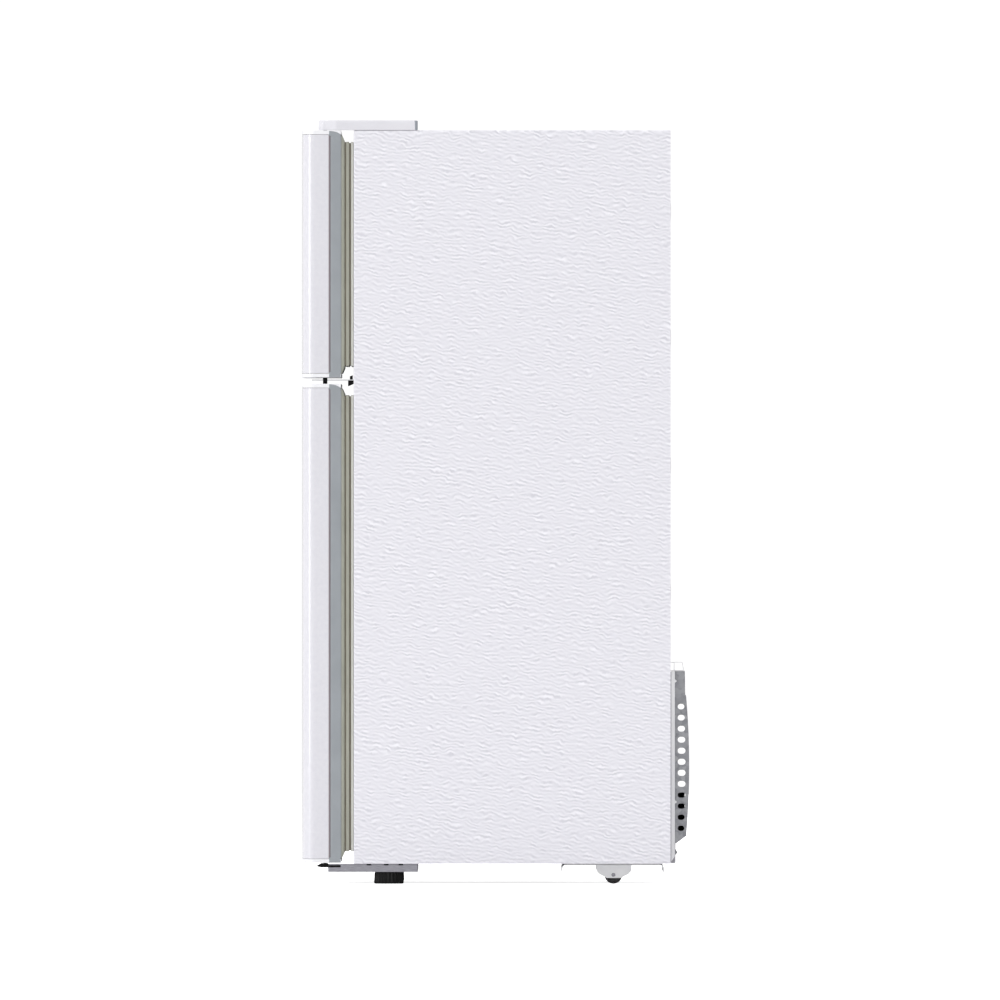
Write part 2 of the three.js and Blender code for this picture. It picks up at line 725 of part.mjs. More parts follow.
const GRIP = { depth: 25, length: 240 }; // a finger recess in the door's free edge

// The inner liner: side walls behind the skin, a back, two ribs that hold the bins, and a grip.
function doorLiner(height, { side: rib, low, high }, gripLow) {
  const half = HALF_WIDTH - 0.8;
  const front = SKIN_BACK + GAP;
  const wall = 2.5;
  const end = DOOR_CAP + GAP;
  const dish = cut(
    block(both(half), [front, DOOR_BACK], [end, height - end]),
    block(both(half - wall), [front - 1, DOOR_BACK - 3], [end + wall, height - end - wall]),
  );
  const ribs = [-1, 1].map((side) => {
    const ends = [side * (rib - 33), side * rib].sort((a, b) => a - b);
    return block(ends, [DOOR_BACK - 1, DOOR_BACK + RIB_DEPTH], [low, high]);
  });
  const grip = { left: -half, right: -half + GRIP.depth, front: front + 3 };
  const gripHigh = gripLow + GRIP.length;
  const scoop = block([grip.left, grip.right + wall], [front, DOOR_BACK], [gripLow - wall, gripHigh + wall]);
  const fingers = block([grip.left - 1, grip.right], [grip.front, DOOR_BACK + 1], [gripLow, gripHigh]);
  return cut(join(dish, ...ribs, scoop), fingers);
}

function doorFoam(height, gripLow) {
  const low = DOOR_CAP + GAP;
  const inner = low + 2.5 + GAP; // inside the liner's end walls
  const front = prism(doorOutline(1.3, SKIN_BACK), "z", low, height - low);
  const rear = block(both(HALF_WIDTH - 3.6), [SKIN_BACK - 1, DOOR_BACK - 3.3], [inner, height - inner]);
  const roomForGrip = block(
    [-HALF_WIDTH, -HALF_WIDTH + GRIP.depth + 4],
    [SKIN_BACK - 0.2, DOOR_BACK],
    [gripLow - 3, gripLow + GRIP.length + 3],
  );
  return cut(join(front, rear), roomForGrip);
}

function endCap(low) {
  const cap = prism(doorOutline(0, DOOR_BACK - 0.7), "z", low, low + DOOR_CAP);
  return cut(cap, rod("z", [PIN_X, PIN_Y], PIN_HOLE, low - 1, low + DOOR_CAP + 1, 20));
}

function gasket(height) {
  const half = 353.5;
  const width = 14;
  const edge = 24.5;
  const depth = [DOOR_BACK + GAP, CABINET_FRONT - GAP];
  return cut(
    block(both(half), depth, [edge, height - edge]),
    block(both(half - width), [depth[0] - 1, depth[1] + 1], [edge + width, height - edge - width]),
  );
}

// A bin between the door's ribs, its back against the liner.
const bin = (half, low, high, reach = 88) =>
  tray(both(half), [DOOR_BACK + GAP, DOOR_BACK + reach], [low, high], 2.5);

function door(name, { bottom, height }, ribs, gripLow) {
  const group = groupAt(0, 0, bottom);
  const skin = cut(
    prism(doorOutline(0, SKIN_BACK), "z", DOOR_CAP + GAP, height - DOOR_CAP - GAP),
    prism(doorOutline(1, SKIN_BACK + 1), "z", 0, height),
  );
  piece(`${name}_door_skin`, skin, FINISH.door, group);
  piece(`${name}_door_top_cap`, endCap(height - DOOR_CAP), FINISH.door, group);
  piece(`${name}_door_bottom_cap`, endCap(0), FINISH.door, group);
  piece(`${name}_door_foam`, doorFoam(height, gripLow), FINISH.foam, group);
  piece(`${name}_door_liner`, doorLiner(height, ribs, gripLow), FINISH.frame, group);
  piece(`${name}_gasket`, gasket(height), FINISH.gasket, group);
  return group;
}

const FREEZER_RIBS = { side: 306, low: 56, high: 478 };
const freezerDoor = door("freezer", FREEZER_DOOR, FREEZER_RIBS, 30);
const freezerBin = FREEZER_RIBS.side - 34;
piece("freezer_bin_lower", bin(freezerBin, 76, 150), FINISH.clear, freezerDoor);
piece("freezer_bin_upper", bin(freezerBin, 296, 370), FINISH.clear, freezerDoor);

const FRESH_RIBS = { side: 318, low: 54, high: 1006 };
const freshDoor = door("fresh_food", FRESH_DOOR, FRESH_RIBS, FRESH_DOOR.height - GRIP.length - 30);
const freshBin = FRESH_RIBS.side - 34;
piece("bottle_bin", bin(freshBin, 100, 230), FINISH.clear, freshDoor);
piece("middle_bin", bin(freshBin, 490, 584), FINISH.clear, freshDoor);
piece("dairy_box", bin(freshBin, 794, 880), FINISH.liner, freshDoor);

// The dairy box's lid: a top and a front panel, hinged at the top against the door.
const LID_HINGE = { y: DOOR_BACK + 8.3, z: 880.6 };
const lid = join(
  block(both(freshBin - 4), [-4, 91.5], [0, 2.5]),
  block(both(freshBin - 4), [89, 91.5], [-50, 1]),
);
piece("dairy_lid", lid, FINISH.clear, freshDoor).position.set(0, LID_HINGE.y, LID_HINGE.z);

export default refrigerator;
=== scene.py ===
# Looks for the top-freezer refrigerator: grained steel cabinet, smooth steel doors, moulded
# linings, clear bins and drawers, and the black and galvanised works behind the rear cover.
# Shapes are written in millimetres and turned to metres as each piece is made.
import json
from math import atan2, cos, pi, radians, sin, tan

import bmesh
import bpy
from mathutils import Matrix, Vector

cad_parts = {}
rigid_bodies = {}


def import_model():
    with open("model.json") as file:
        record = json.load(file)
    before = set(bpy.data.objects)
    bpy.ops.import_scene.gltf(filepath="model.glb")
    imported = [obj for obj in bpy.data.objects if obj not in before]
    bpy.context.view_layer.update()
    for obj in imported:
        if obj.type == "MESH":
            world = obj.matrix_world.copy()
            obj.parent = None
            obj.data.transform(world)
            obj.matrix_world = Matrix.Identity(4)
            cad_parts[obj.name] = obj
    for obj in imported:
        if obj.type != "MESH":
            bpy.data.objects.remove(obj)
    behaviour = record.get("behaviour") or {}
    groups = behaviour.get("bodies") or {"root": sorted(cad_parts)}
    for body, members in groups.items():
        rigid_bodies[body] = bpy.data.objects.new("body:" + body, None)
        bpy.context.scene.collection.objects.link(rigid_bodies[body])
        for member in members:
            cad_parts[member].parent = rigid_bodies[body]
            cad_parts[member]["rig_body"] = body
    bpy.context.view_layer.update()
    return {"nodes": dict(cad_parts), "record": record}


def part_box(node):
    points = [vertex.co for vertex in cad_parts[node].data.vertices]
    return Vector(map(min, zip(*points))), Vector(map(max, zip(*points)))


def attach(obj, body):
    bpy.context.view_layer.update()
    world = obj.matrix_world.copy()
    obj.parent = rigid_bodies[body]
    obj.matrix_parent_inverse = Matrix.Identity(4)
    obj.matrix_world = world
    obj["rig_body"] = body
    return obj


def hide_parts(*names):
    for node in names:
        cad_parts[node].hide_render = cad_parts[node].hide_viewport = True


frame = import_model()
nodes = frame["nodes"]
slots = {row["node"]: row["material_slot"] for row in frame["record"]["subparts"]}


# ---------------------------------------------------------------- materials
def linear(hex_colour):
    """An sRGB hex colour as linear red, green, blue and alpha."""
    parts = [int(hex_colour[i : i + 2], 16) / 255 for i in (0, 2, 4)]
    return [p / 12.92 if p <= 0.04045 else ((p + 0.055) / 1.055) ** 2.4 for p in parts] + [1.0]


def add(tree, kind, inputs=(), **settings):
    """One node, with its settings; an input is a value, or (node, output) to link from."""
    node = tree.nodes.new(kind)
    for name, value in settings.items():
        setattr(node, name, value)
    for name, value in dict(inputs).items():
        if isinstance(value, tuple):
            tree.links.new(value[0].outputs[value[1]], node.inputs[name])
        else:
            node.inputs[name].default_value = value
    return node


def finish(name, **surface):
    """A material with a Principled shader; returns it, its node tree, the shader and the place."""
    material = bpy.data.materials.new(name)
    material.use_nodes = True
    tree = material.node_tree
    tree.nodes.clear()
    shader = add(tree, "ShaderNodeBsdfPrincipled", {k.replace("_", " "): v for k, v in surface.items()})
    add(tree, "ShaderNodeOutputMaterial", {"Surface": (shader, "BSDF")})
    place = add(tree, "ShaderNodeTexCoord")
    return material, tree, shader, place


def scaled(tree, place, size):
    """Object coordinates divided so that one unit is size millimetres in x, y and z."""
    scale = [1000 / s for s in size]
    return add(tree, "ShaderNodeMapping", {"Vector": (place, "Object"), "Scale": scale})


def pattern(tree, place, kind, size, **inputs):
    """A texture whose unit is size millimetres in x, y and z."""
    vector = (scaled(tree, place, size), "Vector")
    return add(tree, f"ShaderNodeTex{kind}", {"Vector": vector, "Scale": 1.0, **inputs})


def colour(tree, shader, factor, low, high, lows=0.0, highs=1.0):
    """Base colour that goes from low to high as factor goes from lows to highs."""
    ramp = add(tree, "ShaderNodeValToRGB", {"Fac": factor})
    for element, position, tint in zip(ramp.color_ramp.elements, (lows, highs), (low, high)):
        element.position = position
        element.color = linear(tint)
    tree.links.new(ramp.outputs["Color"], shader.inputs["Base Color"])


def relief(tree, shader, height, depth_mm):
    """Bump whose full height is depth_mm."""
    bump = add(tree, "ShaderNodeBump", {"Height": height, "Distance": depth_mm / 1000})
    tree.links.new(bump.outputs["Normal"], shader.inputs["Normal"])


def grained_steel():
    """Prepainted steel, embossed in a leather grain: short level wrinkles that hide dents, tinted with
    painted shade and painted highlight.
    """
    material, tree, shader, place = finish("prepainted_steel_embossed", Roughness=0.42, IOR=1.5)
    # the real wrinkles are about 2 mm apart; they are drawn 6 mm apart so that they show from afar
    patch_mm, wrinkles_per_patch, levelness, bend_share = 17, 2.97, 0.93, 0.3
    patch = scaled(tree, place, [patch_mm] * 3)
    bend = add(tree, "ShaderNodeTexNoise", {"Vector": (patch, "Vector"), "Scale": 0.8, "Detail": 2.0})
    bent = add(
        tree,
        "ShaderNodeMixRGB",
        {"Fac": bend_share, 1: (patch, "Vector"), 2: (bend, "Color")},
        blend_type="LINEAR_LIGHT",
    )
    # input 5 is the way across the wrinkles
    wrinkle = add(
        tree,
        "ShaderNodeTexGabor",
        {"Vector": (bent, "Color"), "Scale": 1.0, "Frequency": wrinkles_per_patch,
         "Anisotropy": levelness, 5: [1.0, 0.0, 1.0]},
        gabor_type="3D",
    )
    # the tint follows the wrinkles: painted shade in their troughs and painted highlight on their
    # crests, standing in for how the embossing is lit
    colour(tree, shader, (wrinkle, "Value"), "D6D5DD", "F9F8FE", 0.25, 0.75)
    relief(tree, shader, (wrinkle, "Value"), 1.1)
    return material


def figured(name, low, high, size, detail, depth_mm, **surface):
    """A material that one noise tints and raises; its cells are size millimetres in x, y and z."""
    material, tree, shader, place = finish(name, **surface)
    figure = pattern(tree, place, "Noise", size, Detail=detail)
    colour(tree, shader, (figure, "Fac"), low, high, 0.3, 0.7)
    relief(tree, shader, (figure, "Fac"), depth_mm)
    return material


def moulded(name, low, high, roughness, grain_mm=0.8, depth_mm=0.03, **more):
    """Injection-moulded plastic: an even colour with a fine spark-eroded grain from the tool."""
    material, tree, shader, place = finish(name, Roughness=roughness, IOR=1.53, **more)
    cloud = pattern(tree, place, "Noise", (60, 60, 60), Detail=4.0)
    colour(tree, shader, (cloud, "Fac"), low, high, 0.3, 0.7)
    grain = pattern(tree, place, "Noise", [grain_mm] * 3, Scale=5.0, Detail=2.0)
    relief(tree, shader, (grain, "Fac"), depth_mm)
    return material


def galvanised_steel():
    """Hot-dip galvanised sheet: grey, with zinc spangles that each catch the light differently."""
    material, tree, shader, place = finish("galvanised_steel", Metallic=0.85, Roughness=0.42)
    spangle = pattern(tree, place, "Voronoi", (9, 9, 9))
    shade = add(tree, "ShaderNodeSeparateColor", {"Color": (spangle, "Color")})
    colour(tree, shader, (shade, "Red"), "8F9095", "A9AAAE")
    gloss = add(tree, "ShaderNodeMapRange", {"Value": (shade, "Green"), "To Min": 0.36, "To Max": 0.5})
    tree.links.new(gloss.outputs["Result"], shader.inputs["Roughness"])
    relief(tree, shader, (shade, "Blue"), 0.015)
    return material


def extruded_vinyl(name, low, high):
    """Soft extruded PVC, as in door gaskets: matt, with faint lines 1.2 mm apart along its length."""
    return figured(name, low, high, (40, 1.2, 40), 2.0, 0.05, Roughness=0.62, IOR=1.53)


def rigid_foam():
    """Rigid polyurethane foam: pale yellow and finely celled."""
    material, tree, shader, place = finish("polyurethane_foam", Roughness=0.9, IOR=1.45)
    cell = pattern(tree, place, "Voronoi", (1.5, 1.5, 1.5))
    colour(tree, shader, (cell, "Distance"), "EADFAE", "D8C88A")
    relief(tree, shader, (cell, "Distance"), 0.3)
    return material


CABINET = grained_steel()
# rolled smooth, with a clean gloss and a faint 9 mm ripple from the paint line
DOOR = figured(
    "prepainted_steel_smooth", "DEDDE4", "E3E2E8", (9, 9, 9), 3.0, 0.02,
    Roughness=0.24, IOR=1.5, Coat_Weight=0.5, Coat_Roughness=0.07,
)
CAP = moulded("abs_white", "F1F1F5", "F6F6F9", 0.35)
COVER = moulded("abs_hinge_cover", "E0DFE5", "E5E4EA", 0.4)
LINING = moulded("hips_lining", "F2F3F1", "F8F8F7", 0.3, grain_mm=1.5, depth_mm=0.04)
EDGE = moulded("abs_edge_trim", "959A9F", "9CA1A6", 0.5, grain_mm=1.2, depth_mm=0.05)
# the liner's pale cream flange, darkened to olive grey by painted shade from the gap between door and
# cabinet
FLANGE_PAINTED_SHADE = moulded("hips_flange_painted_shade", "BFC1B2", "C8CABB", 0.5)
# the bellows: pale vinyl, darkened to light olive grey by painted shade
GASKET_PAINTED_SHADE = extruded_vinyl("pvc_gasket", "C6C6B8", "D1D1C3")
MAGNET = extruded_vinyl("pvc_magnet_strip", "F8F8F0", "FDFDF6")
# the dart and neck: a dark brown sheet that stands for painted shade in the gasket's deep fold
GASKET_FOLD_SHADE = extruded_vinyl("gasket_fold_painted_shade", "7D776A", "8D8779")
# a grey strip for the groove at the edge trim's front: painted shade in that groove
GROOVE_SHADE = extruded_vinyl("groove_painted_shade", "857B81", "90868C")
GALVANISED = galvanised_steel()
LIGHT_ZINC = moulded("zinc_plated_bright", "C9C9CC", "D3D3D6", 0.35, grain_mm=2)
FRAME = moulded("abs_shelf_frame", "EFF0EF", "F5F6F5", 0.32)
FOOT = moulded("nylon_black_fluted", "040404", "0A0A0A", 0.45, Specular_IOR_Level=0.2)
# pressed, with lines 0.8 mm apart drawn along it by the press
ZINC = figured(
    "zinc_plated_steel", "8B8A92", "AFAEB5", (0.8, 14, 0.8), 3.0, 0.02, Metallic=0.9, Roughness=0.4
)
WHITE_STEEL = moulded("coated_steel_white", "EDEDEF", "F4F4F6", 0.4, grain_mm=3, depth_mm=0.03)
BLACK = moulded("polypropylene_black", "131314", "1C1C1E", 0.45)
DARK = moulded(
    "steel_black_painted", "050506", "0B0B0D", 0.6, grain_mm=1.5, Specular_IOR_Level=0.12
)
# over a drawn steel can: a deep gloss with 2 mm orange peel
ENAMEL = figured(
    "black_enamel", "0E0E0F", "1B1B1D", (2, 2, 2), 3.0, 0.05, Roughness=0.3, IOR=1.5, Coat_Weight=0.4
)
# bare metals: fine lines along the tube, and up the fins, and a soft shine
COPPER = figured(
    "copper_tube", "B06A48", "C98460", (3, 3, 20), 4.0, 0.01, Metallic=1.0, Roughness=0.3
)
ALUMINIUM = figured(
    "aluminium_fins", "B9BCBF", "CBCED0", (1, 8, 8), 4.0, 0.01, Metallic=1.0, Roughness=0.35
)
# crystal polystyrene, with a faint blue cast and 60 mm flow ripples from the mould
CLEAR = figured(
    "crystal_polystyrene", "E9F1F4", "F6FAFB", (60, 60, 30), 2.0, 0.15,
    Roughness=0.06, IOR=1.59, Transmission_Weight=0.92,
)
# float glass, with the green cast of its iron content and a roller wave every 50 mm
GLASS = figured(
    "toughened_glass", "DCEFE8", "E8F5F0", (300, 50, 300), 1.0, 0.05,
    Roughness=0.02, IOR=1.52, Transmission_Weight=1.0,
)
FOAM = rigid_foam()
GREY = moulded("abs_grey_dial", "8B9099", "979CA4", 0.4)
LAMP = moulded("frosted_lamp_cover", "F3EFE2", "FAF7EC", 0.35, Transmission_Weight=0.4)

# the slot named for a piece of each material, unless it is given another; piece() looks it up but keeps
# it nowhere
SLOT_MATERIALS = {
    "cabinet_paint": [CABINET],
    "door_paint": [DOOR],
    "cap_plastic": [CAP, COVER],
    "edge_plastic": [EDGE, FLANGE_PAINTED_SHADE, GROOVE_SHADE, GREY],
    "gasket_vinyl": [GASKET_PAINTED_SHADE, MAGNET, GASKET_FOLD_SHADE],
    "galvanised_steel": [GALVANISED, ZINC],
    "white_steel": [LIGHT_ZINC, WHITE_STEEL],
    "black_plastic": [FOOT, BLACK, DARK],
    "black_enamel": [ENAMEL, COPPER],
    "liner_plastic": [LINING, FRAME],
    "clear_plastic": [CLEAR],
    "shelf_glass": [GLASS],
    "lamp_plastic": [LAMP],
}
USUAL_SLOT = {material: slot for slot, group in SLOT_MATERIALS.items() for material in group}


# ---------------------------------------------------------------- shapes, in millimetres
def rounded(points, radii, steps=5):
    """A polygon with its corners rounded; radii is one number, or one for each corner."""
    radii = [radii] * len(points) if isinstance(radii, (int, float)) else radii
    outline = []
    for i, radius in enumerate(radii):
        corner = Vector(points[i])
        before = (Vector(points[i - 1]) - corner).normalized()
        after = (Vector(points[(i + 1) % len(points)]) - corner).normalized()
        if radius <= 0:
            outline.append(corner)
            continue
        half = before.angle(after) / 2
        centre = corner + (before + after).normalized() * (radius / sin(half))
        first = corner + before * (radius / tan(half)) - centre
        last = corner + after * (radius / tan(half)) - centre
        start = atan2(first.y, first.x)
        turn = (atan2(last.y, last.x) - start + pi) % (2 * pi) - pi
        for step in range(steps + 1):
            angle = start + turn * step / steps
            outline.append(centre + radius * Vector((cos(angle), sin(angle))))
    return outline


def rectangle(x0, x1, y0, y1, radius=0, steps=5):
    corners = [(x0, y0), (x1, y0), (x1, y1), (x0, y1)]
    return rounded(corners, radius, steps)


def ruled(rings, closed=True):
    """A bare sheet of quads between rings of points, or between rows if they aren't closed."""
    made = bmesh.new()
    rows = [[made.verts.new(point) for point in ring] for ring in rings]
    for low, high in zip(rows, rows[1:]):
        for i in range(0 if closed else 1, len(low)):
            made.faces.new([low[i - 1], low[i], high[i], high[i - 1]])
    return made, rows


def loft(rings, first=True, last=True, loop=False):
    """A skin over rings of points; its first and last ring are closed, or loop joins them."""
    made, rows = ruled(rings)
    if loop:
        for i in range(len(rows[0])):
            made.faces.new([rows[-1][i - 1], rows[-1][i], rows[0][i], rows[0][i - 1]])
    if first and not loop:
        made.faces.new(reversed(rows[0]))
    if last and not loop:
        made.faces.new(rows[-1])
    bmesh.ops.recalc_face_normals(made, faces=made.faces)
    return made


AXES = {
    "x": lambda a, b, along: (along, a, b),
    "y": lambda a, b, along: (a, along, b),
    "z": lambda a, b, along: (a, b, along),
}


def prism(outline, axis, low, high):
    """An outline extruded along an axis; it is (y, z), (x, z) or (x, y), in that order."""
    place = AXES[axis]
    return loft([[place(a, b, along) for a, b in outline] for along in (low, high)])


def across(side, inner, outer):
    """Two x places on the left, -1, or the right, 1, in order."""
    return sorted((side * inner, side * outer))


def slab(x, y, z, radius=0.0, axis="z", steps=4):
    """A block between two x, two y and two z places, its edges along one axis rounded."""
    spans = {"x": (y, z, x), "y": (x, z, y), "z": (x, y, z)}[axis]
    return prism(rectangle(*spans[0], *spans[1], radius, steps), axis, *spans[2])


NEAR_AXIS = 0.2  # the radius at which turned solids close


def lathe(profile, axis, centre, sides=40, flutes=0, depth=0.0):
    """A solid turned about an axis, from (radius, along) points; it is closed near the axis."""
    place = AXES[axis]
    a, b = centre
    start = [(NEAR_AXIS, profile[0][1])] if profile[0][0] > NEAR_AXIS else []
    end = [(NEAR_AXIS, profile[-1][1])] if profile[-1][0] > NEAR_AXIS else []
    rings = []
    for radius, along in [*start, *profile, *end]:
        ring = []
        for i in range(sides):
            t = 2 * pi * i / sides
            r = radius - depth * (1 - cos(flutes * t)) / 2 if radius > 2 * depth else radius
            ring.append(place(a + r * cos(t), b + r * sin(t), along))
        rings.append(ring)
    return loft(rings)


def peg(radius, low, high, axis, centre, sides=24):
    """A plain round bar along an axis."""
    return lathe([(radius, low), (radius, high)], axis, centre, sides)


def tube(path, radius, sides=12):
    """A round bar along a path."""
    points = [Vector(p) for p in path]
    side = None
    rings = []
    for i, point in enumerate(points):
        ahead = (points[min(i + 1, len(points) - 1)] - points[max(i - 1, 0)]).normalized()
        if side is None:
            side = ahead.orthogonal().normalized()
        side = (side - ahead * side.dot(ahead)).normalized()
        across = ahead.cross(side)
        rings.append(
            [
                point + radius * (side * cos(2 * pi * k / sides) + across * sin(2 * pi * k / sides))
                for k in range(sides)
            ]
        )
    return loft(rings)


def bends(points, radius, steps=6):
    """A path through points in space, its corners rounded."""
    path = [Vector(points[0])]
    for before, corner, after in zip(points, points[1:], points[2:]):
        corner = Vector(corner)
        back = (Vector(before) - corner).normalized()
        on = (Vector(after) - corner).normalized()
        half = back.angle(on) / 2
        reach = radius / tan(half)
        for step in range(steps + 1):
            t = step / steps
            path.append(
                (corner + back * reach) * (1 - t) ** 2
                + corner * 2 * t * (1 - t)
                + (corner + on * reach) * t**2
            )
    path.append(Vector(points[-1]))
    return path


def drawn_in(a, b, inset, radius, steps=6, least=0.5):
    """A rounded rectangle drawn in by inset, with its corners."""
    corner = max(radius - inset, least)
    return rectangle(a[0] + inset, a[1] - inset, b[0] + inset, b[1] - inset, corner, steps)


def moulding(profile, axis, a, b, radius, steps=8):
    """A strip swept round a rounded rectangle that faces along an axis, from (inset, along) points."""
    place = AXES[axis]
    rings = [[place(p, q, along) for p, q in drawn_in(a, b, inset, radius, steps)]
             for inset, along in profile]
    return loft(rings, loop=True)


def tray(x, y, z, wall=2.5, corner=14, foot=6, draft=3, lip=0.0):
    """An open-topped moulding with round corners, a rounded foot and a drafted wall."""

    def ring(inset, height):
        return [(a, b, height) for a, b in drawn_in(x, y, inset, corner, least=1.0)]

    def sunk(shift, base):
        turns = [radians(15 * i) for i in range(7)]
        return [ring(draft + shift + foot * (1 - sin(t)), base + foot * (1 - cos(t))) for t in turns]

    outside = sunk(0, z[0])
    inside = sunk(wall, z[0] + wall)
    top = [ring(0, z[1] - 1), ring(0.6, z[1]), ring(wall - 0.6, z[1]), ring(wall, z[1] - 1)]
    if lip:
        top = [ring(0, z[1] - lip), ring(-1.2, z[1] - lip + 0.5), ring(-1.2, z[1] - 0.8), *top[1:]]
    return loft(outside + top + list(reversed(inside)))


def mesh_of(made, name):
    mesh = bpy.data.meshes.new(name)
    made.to_mesh(mesh)
    made.free()
    return mesh


def placed(name, data):
    """A new object in the scene."""
    made = bpy.data.objects.new(name, data)
    bpy.context.scene.collection.objects.link(made)
    return made


def joined(*parts):
    """Several shapes as one."""
    whole = bmesh.new()
    for part in parts:
        mesh = mesh_of(part, "part")
        whole.from_mesh(mesh)
        bpy.data.meshes.remove(mesh)
    return whole


def turned_about(made, angle, axis, centre):
    bmesh.ops.rotate(made, verts=made.verts, cent=centre, matrix=Matrix.Rotation(angle, 3, axis))
    return made


def facing(made, way, inside=False):
    """A sheet whose furthest face one way looks that way, or back if the sheet is seen inside."""
    bmesh.ops.recalc_face_normals(made, faces=made.faces)
    way = Vector(way)
    furthest = max(made.faces, key=lambda face: face.calc_center_median().dot(way))
    if (furthest.normal.dot(way) < 0) != inside:
        bmesh.ops.reverse_faces(made, faces=made.faces)
    return made


def shrunk(outline, by):
    """A counter-clockwise outline drawn in by a distance."""
    points = [Vector(point[:2]) for point in outline]
    drawn = []
    for i, point in enumerate(points):
        before = (point - points[i - 1]).normalized()
        after = (points[(i + 1) % len(points)] - point).normalized()
        way = (before + after).normalized()
        drawn.append(point + Vector((-way.y, way.x)) * by / max(way.dot(after), 0.6))
    return drawn


def opened(part, cut):
    """A piece's mesh with its thickness made real and another shape taken out of it."""
    bmesh.ops.scale(cut, vec=(0.001, 0.001, 0.001), verts=cut.verts)
    cutter = placed("cutter", mesh_of(cut, "cutter"))
    hole = part.modifiers.new("openings", "BOOLEAN")
    hole.operation = "DIFFERENCE"
    hole.solver = "EXACT"
    hole.use_self = True
    hole.object = cutter
    bpy.context.view_layer.update()
    mesh = bpy.data.meshes.new_from_object(part.evaluated_get(bpy.context.evaluated_depsgraph_get()))
    part.modifiers.clear()
    spent = cutter.data
    bpy.data.objects.remove(cutter)
    bpy.data.meshes.remove(spent)
    return mesh


def coat(part, material):
    part.data.materials.clear()
    part.data.materials.append(material)


def piece(name, made, body, material, stands_for=(), bevel=0.0, sheet=0.0, smooth=35, cut=None,
          slot=None):
    """A finished piece: from millimetres to metres, hollowed, thickened, bevelled and riding."""
    bmesh.ops.scale(made, vec=(0.001, 0.001, 0.001), verts=made.verts)
    part = placed(name, mesh_of(made, name))
    if sheet:
        skin = part.modifiers.new("thickness", "SOLIDIFY")
        skin.thickness = abs(sheet) / 1000
        skin.offset = -1.0 if sheet > 0 else 1.0
        skin.use_even_offset = True
    if cut is not None:
        whole = part.data
        part.data = opened(part, cut)
        bpy.data.meshes.remove(whole)
        part.data.name = name
    part.data.shade_smooth()
    part.data.set_sharp_from_angle(angle=radians(smooth))
    soften(part, bevel)
    coat(part, material)
    slot = slot or USUAL_SLOT[material]
    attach(part, body)
    if stands_for:
        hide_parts(*([stands_for] if isinstance(stands_for, str) else stands_for))
    return part


def fixed(name, made, *rest, **more):
    """A finished piece that stays with the cabinet."""
    piece(name, made, "cabinet", *rest, **more)


def soften(part, bevel):
    """Rounds a piece's sharp edges by bevel millimetres, and shades its broad faces flat."""
    if bevel:
        edge = part.modifiers.new("edges", "BEVEL")
        edge.width = bevel / 1000
        edge.segments = 3
        edge.limit_method = "ANGLE"
        edge.angle_limit = radians(40)
    even = part.modifiers.new("even_shading", "WEIGHTED_NORMAL")
    even.mode = "FACE_AREA"
    even.weight = 100
    even.keep_sharp = True


def dressed(name, material, bevel=0.0):
    """A CAD node that keeps its shape: a finish, and softened edges."""
    coat(nodes[name], material)
    soften(nodes[name], bevel)


def refined(name, material, bevel=0.0):
    """A CAD node's own shape as a smooth, softened piece."""
    made = bmesh.new()
    made.from_mesh(nodes[name].data)
    bmesh.ops.remove_doubles(made, verts=made.verts, dist=1e-5)
    bmesh.ops.dissolve_limit(made, angle_limit=radians(1), verts=made.verts, edges=made.edges)
    bmesh.ops.scale(made, vec=(1000, 1000, 1000), verts=made.verts)
    body = nodes[name]["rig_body"]
    piece(f"{name}_part", made, body, material, name, bevel, slot=slots[name])


def span(name):
    """A CAD node's two x, two y and two z places, in millimetres."""
    low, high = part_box(name)
    return [(low[i] * 1000, high[i] * 1000) for i in range(3)]


# ---------------------------------------------------------------- floor, light and camera
SIDE = 377.5  # the hinge side of the cabinet
VIEW_FAR = 100.0  # metres from that side to the camera
VIEW_TALL = 2.2  # metres of height in the view
SENSOR = 36  # millimetres

camera = placed("camera", bpy.data.cameras.new("camera"))
camera.location = (SIDE / 1000 + VIEW_FAR, 0.0105, 0.8444)
camera.rotation_euler = (radians(90), 0, radians(90))
camera.data.sensor_width = SENSOR
camera.data.lens = SENSOR * VIEW_FAR / VIEW_TALL
camera.data.clip_end = 2 * VIEW_FAR
bpy.context.scene.camera = camera
bpy.context.scene.view_settings.view_transform = "Standard"


def floor():
    """A white floor, lit a little by itself where it is seen so that it meets the backdrop."""
    made = bmesh.new()
    bmesh.ops.create_grid(made, x_segments=2, y_segments=2, size=30)
    ground = placed("floor", mesh_of(made, "floor"))
    material, tree, shader, place = finish(
        "floor_paper_white", Roughness=0.9, Emission_Color=[1, 1, 1, 1]
    )
    seen = add(tree, "ShaderNodeLightPath")
    glow = add(tree, "ShaderNodeMath", {0: (seen, "Is Camera Ray"), 1: 0.8}, operation="MULTIPLY")
    tree.links.new(glow.outputs["Value"], shader.inputs["Emission Strength"])
    paper = pattern(tree, place, "Noise", (400, 400, 400), Scale=5.0, Detail=2.0)
    colour(tree, shader, (paper, "Fac"), "FDFDFD", "FFFFFF")
    ground.data.materials.append(material)


